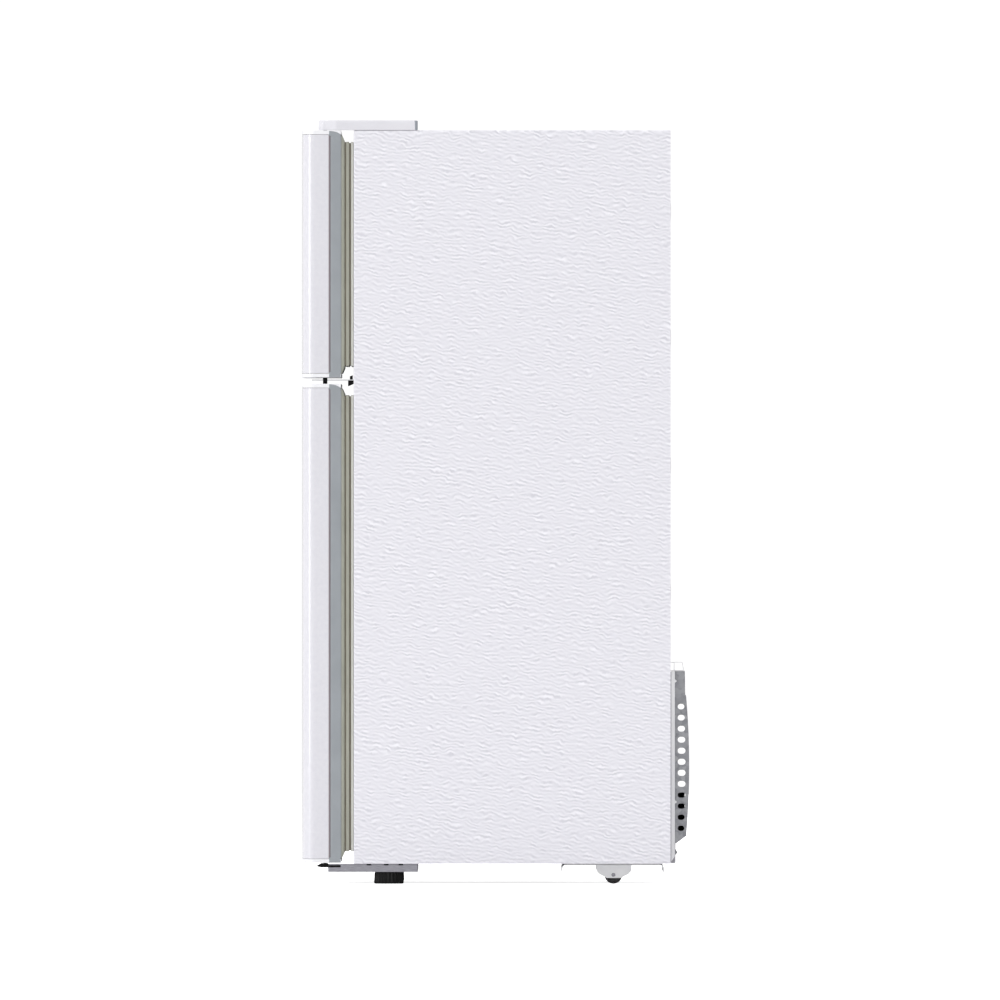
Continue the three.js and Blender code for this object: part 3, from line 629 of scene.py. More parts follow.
def daylight(front, rear, backdrop):
    """Soft white light from all round, stronger from the front; the backdrop is seen brighter."""
    world = bpy.data.worlds.new("daylight")
    bpy.context.scene.world = world
    world.use_nodes = True
    tree = world.node_tree
    tree.nodes.clear()
    way = add(tree, "ShaderNodeTexCoord")
    parts = add(tree, "ShaderNodeSeparateXYZ", {"Vector": (way, "Generated")})
    level = add(
        tree,
        "ShaderNodeMapRange",
        {"Value": (parts, "Y"), "From Min": -1.0, "From Max": 1.0, "To Min": front, "To Max": rear},
    )
    seen = add(tree, "ShaderNodeLightPath")
    light = add(tree, "ShaderNodeBackground", {"Color": [1, 1, 1, 1], "Strength": (level, "Result")})
    paper = add(tree, "ShaderNodeBackground", {"Color": [1, 1, 1, 1], "Strength": backdrop})
    mix = add(
        tree,
        "ShaderNodeMixShader",
        {"Fac": (seen, "Is Camera Ray"), 1: (light, "Background"), 2: (paper, "Background")},
    )
    add(tree, "ShaderNodeOutputWorld", {"Surface": (mix, "Shader")})


def softbox(name, place, aim, size, watts):
    light = bpy.data.lights.new(name, "AREA")
    light.shape = "RECTANGLE"
    light.size, light.size_y = size
    light.energy = watts
    lamp = placed(name, light)
    lamp.location = place
    lamp.rotation_euler = (Vector(aim) - Vector(place)).to_track_quat("-Z", "Y").to_euler()


floor()
daylight(front=0.905, rear=0.67, backdrop=1.05)
softbox("softbox_front", place=(10, -13, 3), aim=(0.3, -0.3, 0.9), size=(3.6, 5.6), watts=520)
softbox("softbox_top", place=(0, -3, 16), aim=(0, 0, 0.9), size=(3.5, 3.5), watts=560)


# ---------------------------------------------------------------- cabinet
BACK_SHEET = 385.9  # the outer face of the back, inside its raised rim


def cabinet_shell():
    (x0, x1), (y0, y1), (z0, z1) = span("cabinet_shell")

    def around(inset, y):
        corner = max(4.5 - inset, 0.6)
        points = [(x0 + inset, z0), (x0 + inset, z1 - inset), (x1 - inset, z1 - inset),
                  (x1 - inset, z0)]
        return [(x, y, z) for x, z in rounded(points, [0, corner, corner, 0], 6)]

    rows = [around(30, y0 + 0.1), around(3.0, y0 + 0.1), around(1.6, y0 + 0.4),
            around(0.5, y0 + 1.4), around(0, y0 + 3), around(0, y1 - 0.2)]
    made = facing(ruled(rows, closed=False)[0], (0, 0, 1))
    fixed("cabinet_wrapper", made, CABINET, "cabinet_shell", sheet=1.0)


def screw_head(axis, centre, along, size):
    """A hexagon washer head that stands up from a place along its axis."""
    washer = [(size * 1.35, 0), (size * 1.35, 0.9), (size * 0.95, 1.1)]
    head = [(size * 0.9, 1.0), (size * 0.9, 3.0), (size * 0.7, 3.6)]
    return joined(
        lathe([(r, along + t) for r, t in washer], axis, centre, 16),
        lathe([(r, along + t) for r, t in head], axis, centre, 6),
    )


def cabinet_back():
    _, (_, rear), (_, top) = span("back_panel")
    refined("back_panel", WHITE_STEEL, 0.4)
    places = [(side * 362, 520 + i * 180) for i in range(7) for side in (-1, 1)]
    places += [(-300 + i * 120, top - 14) for i in range(6)]
    profile = [(4.6, BACK_SHEET - 0.2), (4.2, BACK_SHEET + 0.1)]
    rivets = [lathe(profile, "y", at, 20) for at in places]
    fixed("back_rivets", joined(*rivets), ZINC)
    beads = []
    for z in (620, 900, 1180, 1460):
        steps = [(0, 0), (2, 0.8), (4, 1.3), (7, 1.5)]
        beads.append(loft([
            [(a, BACK_SHEET + up, b) for a, b in drawn_in((-300, 300), (z, z + 40), by, 20, 8)]
            for by, up in steps
        ]))
    fixed("back_panel_beads", joined(*beads), WHITE_STEEL)
    heads = [screw_head("y", (side * 341, z), rear, 3.0) for side in (-1, 1) for z in (180, 446)]
    fixed("rear_cover_screws", joined(*heads), WHITE_STEEL)


def rear_returns():
    """The cabinet's sides folded inward at the rear, beside the compressor compartment."""
    folds = [slab(across(side, 353, 376.6), (383.4, 384.6), (46.4, 470), 1.0)
             for side in (-1, 1)]
    fixed("cabinet_rear_returns", joined(*folds), CABINET, bevel=0.3)


cabinet_shell()
cabinet_back()
rear_returns()
dressed("floor_pan", GALVANISED, 1.0)
dressed("cabinet_foam", FOAM)
dressed("mullion_cover", CABINET)


# ---------------------------------------------------------------- doors
DOOR_FACE = -338.3  # the back of a door's edge trim, where its flange starts
DOOR_FRONT = -423  # the front of a door at its corners
DOOR_CORNER = 26
DOOR_BOW = 4  # how far the front stands out in the middle


def door_outline(back, steps=14):
    """A door seen from above: straight sides, round front corners and a slightly bowed front."""
    points = [(-SIDE, back), (-SIDE, DOOR_FRONT), (0, DOOR_FRONT), (0, back)]
    left = [tuple(p) for p in rounded(points, [0, DOOR_CORNER, 0, 0], steps)[: steps + 2]]
    reach = SIDE - DOOR_CORNER
    bowed = []
    for i in range(1, 24):
        t = i / 24
        bowed.append((-reach + 2 * reach * t, DOOR_FRONT - 4 * DOOR_BOW * t * (1 - t)))
    return left + bowed + [(-x, y) for x, y in reversed(left)]


def door(name, ribs, grip):
    """One door: skin, end caps, edge trim, grip, flange, gasket and liner."""
    body = f"{name}_door"
    _, (_, back), (low, high) = span(f"{body}_skin")
    bottom = span(f"{body}_bottom_cap")[2][0]
    _, (_, cap_back), (_, top) = span(f"{body}_top_cap")
    rear = span(f"{body}_liner")[1][0]
    face = DOOR_FACE
    around = door_outline(back)[1:-1]

    # skin: one wrapped sheet, its rear edges folded in
    wrap = [(-SIDE + 9, back), (-SIDE + 0.8, back), *around, (SIDE - 0.8, back), (SIDE - 9, back)]
    made, _ = ruled([[(x, y, z) for x, y in wrap] for z in (low, high)], closed=False)
    piece(f"{body}_wrap", facing(made, (0, -1, 0)), body, DOOR, f"{body}_skin", sheet=0.8)

    # end caps over the whole depth of the door, stepped in behind the skin
    step = SIDE - 0.9
    plan = [(-step, cap_back), (-step, back), *around, (step, back), (step, cap_back)]
    for end, z0, z1 in (("bottom", bottom, low - 0.5), ("top", high + 0.5, top)):
        piece(f"{body}_{end}_end", prism(plan, "z", z0, z1), body, CAP,
              f"{body}_{end}_cap", bevel=0.9)

    # edge trim: a blue-grey moulding round the door's sides behind the skin, over the top cap's end
    x, z = (-SIDE, SIDE), (low, high)
    profile = [(16, rear), (2.6, rear), (2.6, rear + 3.6), (1.2, rear + 4.6), (0.7, rear + 5.6),
               (0.5, rear + 9), (0.5, face - 2.6), (1.0, face - 1.2), (2.4, face - 0.3),
               (16, face - 0.3)]
    grip_z = (grip, grip + 240)
    fingers = slab((-SIDE - 5, -SIDE + 25), (rear + 3.5, face + 10), grip_z, 9, "x")
    piece(f"{body}_edge", moulding(profile, "y", x, z, 1.2), body, EDGE,
          f"{body}_liner", cut=fingers)
    # a grey strip along the trim's front edge: painted shade in the groove between the trim and the
    # skin
    seam = [(6, rear + 0.1), (1.7, rear + 0.1), (1.7, rear + 3.5), (6, rear + 3.5)]
    piece(f"{body}_seam", moulding(seam, "y", x, z, 1.2), body, GROOVE_SHADE)
    start = rear + 0.8
    turns = [radians(9 * i) for i in range(11)]
    crown = [(start + (face - rear - 2.4) * sin(t), high - 3 + 11 * cos(t)) for t in turns]
    crown.append((start, high - 3))
    toe = [(start, bottom + 0.6), (face - 2.2, bottom + 0.6), (face - 2.2, low + 3), (start, low + 3)]
    shoulders = [prism(outline, "x", *across(side, SIDE - 1.6, SIDE - 0.35))
                 for side in (-1, 1) for outline in (crown, toe)]
    piece(f"{body}_edge_shoulders", joined(*shoulders), body, EDGE)

    # grip: a scoop let into the free edge, cut off where it would stand behind the door
    mouth = rectangle(rear + 3.6, face + 8, *grip_z, 9, 6)
    inner = rectangle(rear + 7, face + 8, grip_z[0] + 6, grip_z[1] - 6, 9, 6)
    scoop = loft([[(-SIDE + deep, a, b) for a, b in outline]
                  for deep, outline in ((1.2, mouth), (16, mouth), (22, inner))], first=False)
    bmesh.ops.bisect_plane(scoop, geom=[*scoop.verts, *scoop.edges, *scoop.faces],
                           plane_co=(0, face - 0.4, 0), plane_no=(0, 1, 0), clear_outer=True)
    piece(f"{name}_grip", scoop, body, EDGE, sheet=-1.2)

    # flange of the inner liner, sloping back to the gasket; its olive grey is painted shade on a pale
    # cream moulding
    z = (bottom, top)
    profile = [(44, face - 0.2), (9.3, face - 0.2), (9.6, face + 1.0), (19.5, face + 5.6),
               (21.5, face + 6.4), (25, face + 6.6), (44, face + 6.6)]
    notch = slab((-SIDE - 5, -SIDE + 26), (face - 5, face + 12), grip_z, 4, "x")
    piece(f"{name}_liner_flange", moulding(profile, "y", x, z, 12), body, FLANGE_PAINTED_SHADE, cut=notch)

    # gasket: its dart in a groove, bellows, a neck and the magnet strip; the bellows are pale vinyl in
    # painted shade, and the dart and neck are painted dark brown as the shade in the gasket's deep fold
    dart = [(25.6, 6.0), (25.6, 10.4), (36, 10.4), (36, 6.0)]
    bellows = [(27, 9.6), (25.0, 10.2), (24.6, 11.5), (25.2, 12.8), (24.6, 14.1), (24.7, 16.0),
               (26.4, 16.8), (35, 16.8), (37.5, 15), (36.5, 12), (37.5, 9.6)]
    neck = [(27.5, 16.2), (27.5, 21.2), (36, 21.2), (36, 16.2)]
    strip = [(26.2, 20.8), (24.8, 21.6), (24.6, 23.2), (25.1, 23.6), (25.1, 24.2), (24.6, 24.6),
             (25.4, 26.3), (37.6, 26.3), (38.4, 24.6), (38.4, 20.8)]
    for part, section, material in (("dart", dart, GASKET_FOLD_SHADE), ("bellows", bellows, GASKET_PAINTED_SHADE),
                                    ("neck", neck, GASKET_FOLD_SHADE), ("magnet", strip, MAGNET)):
        profile = [(inset, face + y) for inset, y in section]
        stands_for = f"{name}_gasket" if part == "bellows" else ()
        piece(f"{name}_gasket_{part}", moulding(profile, "y", x, z, 27), body, material, stands_for)

    # inner liner: a recessed panel between two upright ribs that carry the bins
    panel = slab((-SIDE + 43, SIDE - 43), (face - 1, face + 4), (bottom + 43, top - 43), 12, "y", 6)
    piece(f"{name}_liner_panel", panel, body, LINING, bevel=1.5)
    edge, rib_low, rib_high = ribs
    uprights = []
    for side in (-1, 1):
        x0, x1 = across(side, edge, edge - 33)
        z0, z1 = bottom + rib_low, bottom + rib_high
        foot = rectangle(x0, x1, z0, z1, 14, 6)
        shoulder = rectangle(x0 + 1.6, x1 - 1.6, z0 + 2, z1 - 2, 13, 6)
        crest = rectangle(x0 + 5, x1 - 5, z0 + 6, z1 - 6, 12, 6)
        uprights.append(loft([[(a, face + y, b) for a, b in outline] for y, outline in
                              ((3, foot), (46, foot), (53, shoulder), (55.8, crest))]))
    piece(f"{name}_liner_ribs", joined(*uprights), body, LINING, smooth=50)
    dressed(f"{body}_foam", FOAM)


door("freezer", (306, 56, 478), 1114 + 30)
door("fresh_food", (318, 54, 1006), 46 + 1054 - 270)


def door_bin(name, body, material):
    x, y, z = span(name)
    shell = tray((x[0] + 1.3, x[1] - 1.3), (y[0], y[1] - 1.3), z, 2.4, 16, foot=8, lip=9)
    piece(f"{name}_tray", shell, body, material, name, smooth=40)


door_bin("freezer_bin_lower", "freezer_door", CLEAR)
door_bin("freezer_bin_upper", "freezer_door", CLEAR)
door_bin("bottle_bin", "fresh_food_door", CLEAR)
door_bin("middle_bin", "fresh_food_door", CLEAR)
door_bin("dairy_box", "fresh_food_door", LINING)


def dairy_lid():
    """A curved lid with a finger lip, turning on two knuckles at its rear edge."""
    (x0, x1), (y0, y1), (z0, z1) = span("dairy_lid")
    top = z1 - 0.4
    lip = y1 - 0.4
    points = [(y0 + 0.5, top), (lip, top), (lip, z0), (lip - 2.4, z0), (lip - 2.4, top - 2.4),
              (y0 + 0.5, top - 2.4)]
    shell = prism(rounded(points, [0.8, 14, 1, 1, 11.6, 0.8], 6), "x", x0 + 0.3, x1 - 0.3)
    ribs = [slab((x - 1, x + 1), (y1 - 40, y1 - 4), (top - 5, top - 1.6), 1.2, "x")
            for x in (-120, 0, 120)]
    knuckles = [peg(3, x, x + 14, "x", (y0 + 4, top - 2.8), 20) for x in (x0 + 4, x1 - 18)]
    piece("dairy_lid_cover", joined(shell, *ribs, *knuckles), "dairy_lid", CLEAR, "dairy_lid",
          bevel=0.4)


dairy_lid()

# ---------------------------------------------------------------- hinges and brackets
PIN = (355.5, -374.2)  # the doors' hinge axis
FOOT_X, FOOT_Y = 336, -234  # a front foot's screw, on either side
BRACKET_TOP = 43.4
BRACKET_SLOTS = (-283.5, -245, -213)  # the front ends of the slots along its upper edge


def hinge_pin(low, high):
    return lathe([(3.2, low), (4, low + 1), (4, high - 1), (3.2, high)], "z", PIN, 24)


def top_hinge_cover():
    """A shallow moulded cap with a round nose over the door's pin."""
    (x0, x1), (y0, y1), (z0, z1) = span("top_hinge_cover")
    nose = 14.4
    corners = [(x0, y1), (x0, -290.2), (PIN[0] - nose, -325.2), (PIN[0] - nose, y0),
               (PIN[0] + nose, y0), (PIN[0] + nose, PIN[1]), (x1, -350.2), (x1, y1)]
    outline = rounded(corners, [6, 8, 10, 13, 13, 8, 8, 7], 6)
    steps = [(0, z0), (0.3, z1 - 5), (0.9, z1 - 2.2), (2.2, z1 - 0.7), (4.2, z1)]
    made = loft([[(a, b, z) for a, b in shrunk(outline, by)] for by, z in steps], first=False)
    fixed("top_hinge_cap", facing(made, (0, 0, 1)), COVER, "top_hinge_cover", sheet=1.8)
    # a grey strip over the cover's rear end: painted shade of its rounded rear corner
    end = slab((x1 - 60, x1 + 0.3), (y1 - 7.4, y1 + 0.2), (z0 + 0.4, z1 - 1.2), 3)
    fixed("top_hinge_cap_end", end, GREY, bevel=0.8, slot="cap_plastic")
    fixed("top_hinge_cap_screw", screw_head("z", (315, -200), z1 - 4.2, 3.2), ZINC)


def middle_hinge():
    """A pressed plate between the doors, on a black foot that is screwed to the cabinet's face."""
    face = span("cabinet_shell")[1][0] - 0.3
    low, high = 1107, 1109.6  # the plate
    plate = rounded([(331, face), (331, -346), (344, -403.5), (366, -403.5), (372, -384),
                     (372, face)], [1, 12, 8, 8, 8, 1], 5)
    fixed("middle_hinge_plate", prism(plate, "z", low, high), LIGHT_ZINC,
          "middle_hinge", bevel=0.5)
    foot = rounded([(face - 12, 1094.4), (face, 1099.6), (face, 1107.4), (face - 12, 1107.4)],
                   0.8, 3)
    heel = rounded([(face - 8, 1109.2), (face - 1.6, 1109.2), (face - 1.6, 1119),
                    (face - 8, 1116.6)], 0.8, 3)
    collar = [(4.4, 1100.4), (4.9, 1101), (4.9, 1113), (4.4, 1113.6)]
    clip = slab((350, 372.6), (-379.1, -369.3), (1104.6, 1112.4), 1.2, "x")
    black = joined(clip, prism(foot, "x", 327, 373), prism(heel, "x", 331, 369),
                   lathe(collar, "z", PIN, 28))
    fixed("middle_hinge_foot", black, DARK, bevel=0.3)
    fixed("middle_hinge_pin", hinge_pin(1092, 1122), ZINC)


def foot_bracket(side):
    """A pressed channel under the cabinet's front corner, slotted along its upper edge."""
    name = "bottom_hinge" if side > 0 else "left_foot_bracket"
    x0, x1 = across(side, 300, 372)
    over = BRACKET_TOP + 1
    outer = slab((x0, x1), (-368, -170), (26, BRACKET_TOP), 2.5)
    # dark blocks set in the slots: painted shade of the hollow channel seen through them
    slot_shades = [slab(across(side, 366, 372.3), (y + 0.4, y + 10.6), (40.9, 45.6), 1.4, "x")
             for y in BRACKET_SLOTS]
    fixed(f"{name}_clips", joined(*slot_shades), DARK)
    cuts = [slab((x0 + 3, x1 - 3), (-365, -173), (29, over), 1.5)]
    cuts += [slab((x0 - 1, x1 + 1), (y, y + 11), (40.6, over), 1.4, "x") for y in BRACKET_SLOTS]
    cuts.append(peg(6.6, 20, 32, "z", (side * FOOT_X, FOOT_Y)))
    if side < 0:  # it carries no hinge, so its front end is lower
        ramp = [(-370, 36), (-314, 36), (-306, over), (-370, over)]
        cuts.append(prism(ramp, "x", x0 - 1, x1 + 1))
    fixed(f"{name}_channel", outer, ZINC, name, bevel=0.4, cut=joined(*cuts))


def bottom_hinge_nose():
    nose = rounded([(-394, 38.8), (-383, 36.2), (-340, 36.2), (-340, 41.3), (-367, 41.3),
                    (-367.6, 45.3), (-383, 45.3)], [0.6, 2, 1, 1, 1, 1, 1], 3)
    fixed("bottom_hinge_nose", prism(nose, "x", 342, 372.4), DARK, bevel=0.5,
          slot="galvanised_steel")
    fixed("bottom_hinge_pin", hinge_pin(36, 54), ZINC)


refined("top_hinge", ZINC, 0.4)
top_hinge_cover()
middle_hinge()
foot_bracket(1)
foot_bracket(-1)
bottom_hinge_nose()


# ---------------------------------------------------------------- feet and rollers
def levelling_foot(name, side):
    """A fluted plastic foot that is turned by hand, on a threaded stud."""
    centre = (side * FOOT_X, FOOT_Y)
    skirt = [(30, 0), (32.2, 1.6), (32.7, 3), (31.8, 23), (31.2, 25.2), (6.2, 25.6)]
    knob = lathe(skirt, "z", centre, sides=192, flutes=24, depth=2.2)
    piece(f"{name}_knob", knob, name, FOOT, name, smooth=50)
    thread = [(NEAR_AXIS, 25.6)]
    for i in range(10):
        thread += [(5.2, 25.7 + i * 1.6), (5.9, 26.5 + i * 1.6)]
    stud = lathe([*thread, (NEAR_AXIS, 42)], "z", centre, 24)
    piece(f"{name}_stud", stud, name, ZINC, smooth=60)


def roller(name):
    (x0, x1), (y0, y1), (z0, z1) = span(name)
    y, z, r = (y0 + y1) / 2, (z0 + z1) / 2, (z1 - z0) / 2
    middle = (x0 + x1) / 2
    half = [(7, 11), (7.6, 9), (r - 5, 9), (r - 4, 11), (r - 1.6, 11), (r - 0.4, 10), (r, 8)]
    tyre = [(a, middle - t) for a, t in half] + [(a, middle + t) for a, t in reversed(half)]
    piece(f"{name}_wheel", lathe(tyre, "x", (y, z), 48), name, BLACK, name)
    spokes = []
    for i in range(6):
        spoke = slab((middle - 9.8, middle + 9.8), (y - 1, y + 1), (z + 7, z + r - 4.6), 0.5, "x")
        spokes.append(turned_about(spoke, i * pi / 3, "X", (middle, y, z)))
    piece(f"{name}_spokes", joined(*spokes), name, BLACK)
    axle = [(3.4, x0), (4, x0 + 1), (4, x1 - 1), (3.4, x1)]
    piece(f"{name}_axle", lathe(axle, "x", (y, z), 20), name, ZINC)


for side, which in ((-1, "left"), (1, "right")):
    levelling_foot(f"{which}_foot", side)
    roller(f"{which}_roller")


# ---------------------------------------------------------------- behind the cabinet
def rear_cover():
    """A galvanised box with a bowed back: vents down its sides and rows of slots across its back."""
    (x0, x1), (y0, y1), (z0, z1) = span("rear_cover")
    head, knee, toe = y1 - 9.5, y1 - 6.8, z0 + 16
    crown = 414
    bow = []
    for i in range(25):
        t = i / 24
        bow.append((knee + (y1 - knee) * (1 - (2 * t - 1) ** 2), crown - (crown - toe) * t))
    side_view = [(y0, z1), (head, z1), (head + 0.7, crown + 2), *bow, (y0 + 3, z0), (y0, z0)]
    made = prism(side_view, "x", x0, x1)
    open_side = [f for f in made.faces if f.calc_center_median().y < y0 + 0.01]
    bmesh.ops.delete(made, geom=open_side, context="FACES_ONLY")
    # each vent goes through both sides, a little further back and lower on the far side
    vents, top_vent, pitch, front = 12, 390.3, 24.4, 401.5
    holes = []
    for i in range(vents):
        z = top_vent - pitch * i
        wide = 14.8 + 2.6 * sin(pi * i / (vents - 1))
        high, corner = (13.4, 6.4) if i < 8 else (11.8, 5.8)
        mouth = rectangle(front, front + wide, z - high / 2, z + high / 2, corner, 6)
        holes.append(loft([[(x, a + back, b - down) for a, b in mouth]
                           for x, back, down in ((x1 + 1, 0, 0), (x0 - 1, 2.7, 3.9))]))
    for row in range(5):
        for i in range(11):
            x, z = -250 + 50 * i, 360 - 50 * row
            holes.append(slab((x - 17, x + 17), (y1 - 14, y1 + 4), (z - 3, z + 3), 2.9, "y"))
    fixed("rear_cover_shell", facing(made, (0, 1, 0)), GALVANISED, "rear_cover",
          sheet=1.2, smooth=30, cut=joined(*holes))
    flange = slab((x0, x1), (y0, y0 + 1.3), (45.5, z0 + 1), 3, "y")
    heads = [screw_head("y", (x, 68), y0 + 1.3, 3.2) for x in (-280, -95, 95, 280)]
    edges = []
    for side in (-1, 1):
        corner = [(386.4, 46.2), (395, 46.2), (395, 60)]
        edges.append(prism(corner, "x", *across(side, 351, 352.4)))
    # thin zinc strips down the rim's sides: a painted shadow line in the gap between the cabinet's rear
    # edge and the rim
    for side in (-1, 1):
        shadow_gap_x = across(side, 351, 352.3)
        edges.append(slab(shadow_gap_x, (BACK_SHEET, BACK_SHEET + 1.5), (47, 466), 0.3, "x"))
    fixed("rear_cover_corners", joined(*edges), ZINC)
    fixed("rear_cover_foot", joined(flange, *heads), GALVANISED)


def compressor():
    """Two drawn steel cans welded at a seam, on rubber feet, with copper tubes and a start box."""
    x, y, base = 190, 327, 43.4
    can = [(38, 62), (52, 88), (70, 104), (84, 116), (90, 130), (90, 152), (92.5, 152.6),
           (92.5, 156.4), (90, 157), (90, 192), (86, 203), (76, 213), (52, 221), (24, 225),
           (NEAR_AXIS, 226)]
    fixed("compressor_can", lathe(can, "z", (x, y), 64), ENAMEL, "compressor")
    plate = slab((x - 104, x + 104), (y - 62, y + 42), (base, base + 3), 14)
    foot = [(13, base), (13, 50), (9, 53), (10, 58)]
    feet = [lathe(foot, "z", (x + a, y + b), 24) for a in (-88, 88) for b in (-46, 26)]
    saddle = slab((x - 34, x + 34), (y - 34, y + 34), (46, 64), 8)
    fixed("compressor_feet", joined(plate, saddle, *feet), DARK, bevel=0.6,
          slot="black_enamel")
    box = slab((x - 112, x - 84), (y - 34, y + 91), (112, 206), 5, "x")
    fixed("compressor_start_box", box, BLACK, bevel=2)
    suction = [(40, -20, 212), (40, -20, 246), (40, -120, 246), (-60, -140, 246), (-60, -140, 120)]
    discharge = [(-30, -78, 140), (-30, -122, 140), (-120, -122, 140), (-120, -122, 230),
                 (-200, -122, 230)]
    tubes = [tube(bends([(x + a, y + b, z) for a, b, z in path], 16), radius)
             for path, radius in ((suction, 4), (discharge, 3))]
    fixed("compressor_tubes", joined(*tubes), COPPER, smooth=60)


def fan_wheel(name, axis, radius, hub, depth):
    """A moulded fan: five twisted blades on a domed hub."""
    low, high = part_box(name)
    centre = (low + high) * 500
    turn = {"x": Matrix.Rotation(pi / 2, 3, "Y"), "y": Matrix.Rotation(-pi / 2, 3, "X")}[axis]
    half, blades = depth / 2, 5
    dome = [(hub - 1, -half), (hub, -half + 1), (hub, half - 3), (hub - 2, half - 1), (hub * 0.5, half)]
    parts = [lathe(dome, "z", (0, 0), 32)]
    # a blade's section, from its back edge to its front edge and round again
    section = ((-1, 0), (-0.5, 0.8), (0, 1), (0.5, 0.8), (1, 0), (0.5, -0.2), (0, 0), (-0.5, -0.2))
    for blade in range(blades):
        rings = []
        for j in range(9):
            r = hub - 2 + (radius - hub + 1) * j / 8
            chord = radius * (0.30 + 0.24 * sin(pi * j / 9))
            pitch = radians(38 - 20 * j / 8)
            ring = []
            for u, thick in section:
                on, up = u * chord / 2, thick * 1.2 - 1.6 * (1 - u * u)
                ring.append((r, on * cos(pitch) - up * sin(pitch), on * sin(pitch) + up * cos(pitch)))
            rings.append(ring)
        parts.append(turned_about(loft(rings), blade * 2 * pi / blades, "Z", (0, 0, 0)))
    wheel = joined(*parts)
    bmesh.ops.transform(wheel, matrix=Matrix.Translation(centre) @ turn.to_4x4(), verts=wheel.verts)
    piece(f"{name}_wheel", wheel, name, BLACK, name, smooth=50)


def cable_guide():
    """A bent wire-thin loop on the back, hung from one short tab."""
    loop = prism([(393.2, 488), (412, 488), (416, 468), (393.2, 468)], "x", 292, 340)
    inside = prism([(394.6, 486.6), (410.8, 486.6), (414.2, 469.4), (394.6, 469.4)], "x", 280, 350)
    fixed("cable_guide_loop", loop, WHITE_STEEL, "cable_guide", bevel=0.3, cut=inside)
    tab = slab((306, 326), (386.2, 393.6), (486.5, 487.9), 0.5, "x")
    fixed("cable_guide_tab", tab, WHITE_STEEL, bevel=0.2)


rear_cover()
compressor()
fan_wheel("condenser_fan", "x", radius=64, hub=14, depth=22)
refined("compressor_base", WHITE_STEEL, 0.5)
refined("condenser_fan_motor", GALVANISED, 1.0)
refined("drain_tray", BLACK, 0.8)
cable_guide()
dressed("condenser", ENAMEL)


# ---------------------------------------------------------------- linings
FLANGE_SIDE = SIDE - 30.3
LINER_BACK = 319
FREEZER_SHELF, UPPER_SHELF, LOWER_SHELF, CRISPER_COVER = 1386, 720, 470, 322  # their undersides


def lining(name, half, bottom, top, flange, corner, shelves, hump=None):
    """A vacuum-formed compartment: a front flange, rounded walls with ledges, and a rounded back."""
    front = span("cabinet_shell")[1][0]

    def ring(y, inset, low=bottom):
        outline = rectangle(-half + inset, half - inset, low + inset, top - inset,
                            max(corner - inset, 2), 6)
        return [(a, y, b) for a, b in outline]

    rings = [[(a, front + 0.2, b) for a, b in rectangle(-FLANGE_SIDE, FLANGE_SIDE, *flange, 2, 6)]]
    rings += [ring(front + y, inset) for y, inset in ((0.2, -7), (1.6, -3.4), (4.6, -0.9), (9, 0))]
    ground = bottom
    if hump:
        edge, ground = hump
        steps = ((-8, bottom), (-2.3, bottom + 2.3), (0, bottom + 8), (0, ground - 8),
                 (2.3, ground - 2.3), (8, ground))
        rings += [ring(edge + y, 0, low) for y, low in steps]
    rings += [ring(LINER_BACK - y, inset, ground) for y, inset in ((14, 0), (4, 4), (0, 14))]
    made = facing(loft(rings, first=False), (0, 1, 0), inside=True)
    fixed(f"{name}_shell", made, LINING, name, sheet=1.6)
    ledges = []
    for (y0, y1), z in shelves:
        for side in (-1, 1):
            wall, nose = side * (half + 1), side * (half - 8.6)
            profile = [(wall, z - 13), (nose, z - 5), (nose, z - 0.4), (wall, z - 0.4)]
            ledges.append(prism(rounded(profile, [0, 1.5, 1.2, 0], 3), "y", y0, y1))
    fixed(f"{name}_ledges", joined(*ledges), LINING, bevel=0.5)


def glass_shelf(name, z, thick, lip, rails=()):
    """A glass plate in a moulded frame, with a raised, rounded front rail."""
    (x0, x1), (y0, y1), _ = span(name)
    top = z + thick
    plate = slab((x0 + 5, x1 - 5), (y0 + 7, y1 - 5), (top - 5, top - 1), 5)
    fixed(f"{name}_glass", plate, GLASS, name, bevel=0.5)
    foot = z + 0.4
    around = [(0, foot), (16, foot), (16, top - 5.1), (11, top - 5.1), (11, top - 0.9),
              (10, top - 0.2), (1, top - 0.2), (0, top - 1)]
    frame_ring = moulding(around, "z", (x0, x1), (y0 + 1.2, y1), 8, 6)
    crest = top + lip
    nose = rounded([(y0, z + 1), (y0 + 2, z), (y0 + 15, z), (y0 + 15, top - 0.4), (y0 + 8, crest),
                    (y0 + 2, crest), (y0, crest - 2)], [0.5, 1, 1, 1, 2, 1.6, 1], 3)
    front = prism(nose, "x", x0 + 6, x1 - 6)
    fixed(f"{name}_frame", joined(frame_ring, front, *rails), FRAME, smooth=40, bevel=0.3)


def pull_out(name, flanges=()):
    """A drawer with round corners, a rolled rim and a hooked pull across its front."""
    (x0, x1), (y0, y1), (z0, z1) = span(name)
    if flanges:
        x0, x1 = -280, 280
    shell = tray((x0, x1), (y0 + 10, y1), (z0, z1), wall=2.4, foot=7)
    hook = rounded([(y0 + 12.6, z1 - 6), (y0 + 2, z1 - 6), (y0, z1 - 8), (y0, z1 - 24),
                    (y0 + 2.4, z1 - 24), (y0 + 2.6, z1 - 10), (y0 + 12.6, z1 - 8.6)],
                   [0, 2, 2, 1, 1, 3, 0], 4)
    piece(f"{name}_box", joined(shell, *flanges), name, CLEAR, name, smooth=40)
    pull = prism(hook, "x", x0 + 30, x1 - 30)
    piece(f"{name}_pull", pull, name, FRAME, bevel=0.4, slot="clear_plastic")


